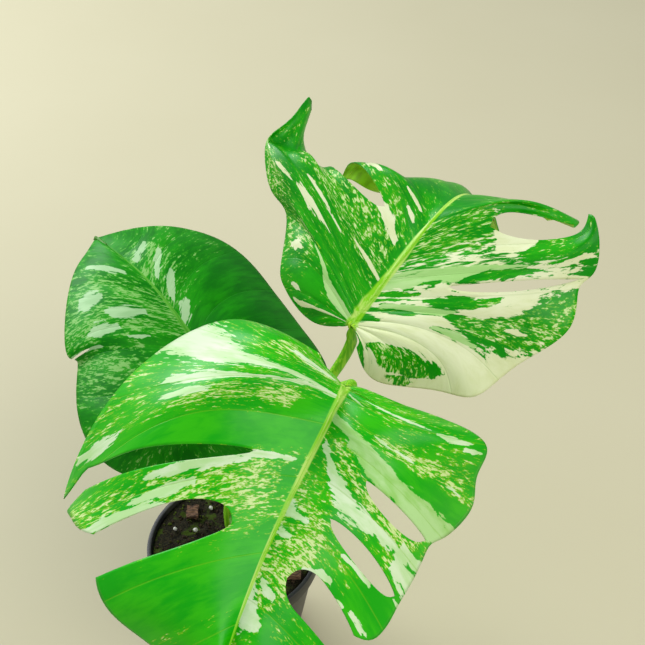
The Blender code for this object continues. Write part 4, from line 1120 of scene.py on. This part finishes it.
# %% stem and aerial root
g = Graph("stem_skin_green", 0.5)
rings = g.noise(g.scaled(g.place(), 60, 60, 500), 1.0, 3)
cork = g.noise(g.scaled(g.place(), 120, 120, 90), 1.0, 4)
colour = g.mix(g.ramp(rings, 0.45, 0.6), (0.06, 0.20, 0.01), (0.14, 0.30, 0.03))
colour = g.mix(g.ramp(cork, 0.55, 0.66), colour, (0.16, 0.09, 0.035))
wear(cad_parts["stem"], g.finish(colour, bump=rings, strength=0.5, depth=0.0006))

ROOT_TURN, ROOT_R, ROOT_OUT = radians(200), 0.0022, 0.024


def beside(out, z):
    return (STEM[0] + out * cos(ROOT_TURN), STEM[1] + out * sin(ROOT_TURN), z)


root = cord("root_cord", [beside(STEM_R + GAP + 0.0008, CROWN + 0.017),
                          beside(0.6 * ROOT_OUT, CROWN + 0.017), beside(ROOT_OUT, CROWN + 0.008),
                          beside(ROOT_OUT, SOIL_Z - 0.004), beside(ROOT_OUT, SOIL_Z - 0.015)],
            [ROOT_R * 0.8, ROOT_R, ROOT_R, ROOT_R, ROOT_R * 0.6])
g = Graph("root_cork", 0.85)
flake = g.noise(g.place(), 700, 4)
keep(root, "aerial_root", "root_bark",
     g.finish(g.mix(g.ramp(flake, 0.4, 0.65), (0.10, 0.055, 0.025), (0.26, 0.17, 0.09)),
              bump=flake, strength=0.5, depth=0.0005))

# %% [markdown]
# ## Bark chips and perlite
# A few chips of pine bark and grains of white perlite lie loose on the mix. A chip is a
# finely divided block with its points pushed about. A grain is a lumpy ball.

# %% bark chips and perlite
g = Graph("bark_brown", 0.9)
fibre = g.noise(g.scaled(g.place(), 250, 900, 900), 1.0, 4)
bark = g.finish(g.mix(g.ramp(fibre, 0.35, 0.65), (0.035, 0.016, 0.008), (0.20, 0.10, 0.05)),
                bump=fibre, strength=0.7, depth=0.0008)
g = Graph("perlite_white", 0.9)
pore = g.noise(g.place(), 2500, 3)
white = g.finish(g.mix(g.ramp(pore, 0.35, 0.6), (0.42, 0.40, 0.34), (0.78, 0.76, 0.70)),
                 bump=pore, strength=0.6, depth=0.0003)


def roughened(ob, amount, size, seed):
    """Push the points about by noise."""
    for v in ob.data.vertices:
        push = noise.noise_vector(v.co * size + Vector((seed, 0, 0)))
        v.co += push * amount


for node in [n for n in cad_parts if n.startswith("bark_chip")]:
    low, high = (Vector(c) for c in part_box(node))
    bpy.ops.object.select_all(action='DESELECT')
    bpy.ops.mesh.primitive_cube_add(size=1, location=(low + high) / 2,
                                    scale=(high - low) * 0.92)
    chip = bpy.context.object
    chip.name = node.replace("bark_chip", "chip")
    bpy.ops.object.transform_apply(location=True, rotation=True, scale=True)
    bpy.ops.object.mode_set(mode='EDIT')
    bpy.ops.mesh.select_all(action='SELECT')
    bpy.ops.mesh.subdivide(number_cuts=7)
    bpy.ops.object.mode_set(mode='OBJECT')
    roughened(chip, 0.0011, 300, float(len(node) + ord(node[-1])))
    bpy.ops.object.shade_smooth_by_angle(angle=radians(40))
    keep(chip, node, "bark", bark)
for node in [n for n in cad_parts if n.startswith("perlite")]:
    low, high = (Vector(c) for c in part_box(node))
    bpy.ops.object.select_all(action='DESELECT')
    bpy.ops.mesh.primitive_ico_sphere_add(subdivisions=4, radius=(high - low).x / 2,
                                          location=(low + high) / 2)
    grain = bpy.context.object
    grain.name = node.replace("perlite", "grain")
    bpy.ops.object.transform_apply(location=True, rotation=True, scale=True)
    roughened(grain, 0.0004, 900, float(ord(node[-1])))
    bpy.ops.object.shade_smooth()
    keep(grain, node, "perlite", white)
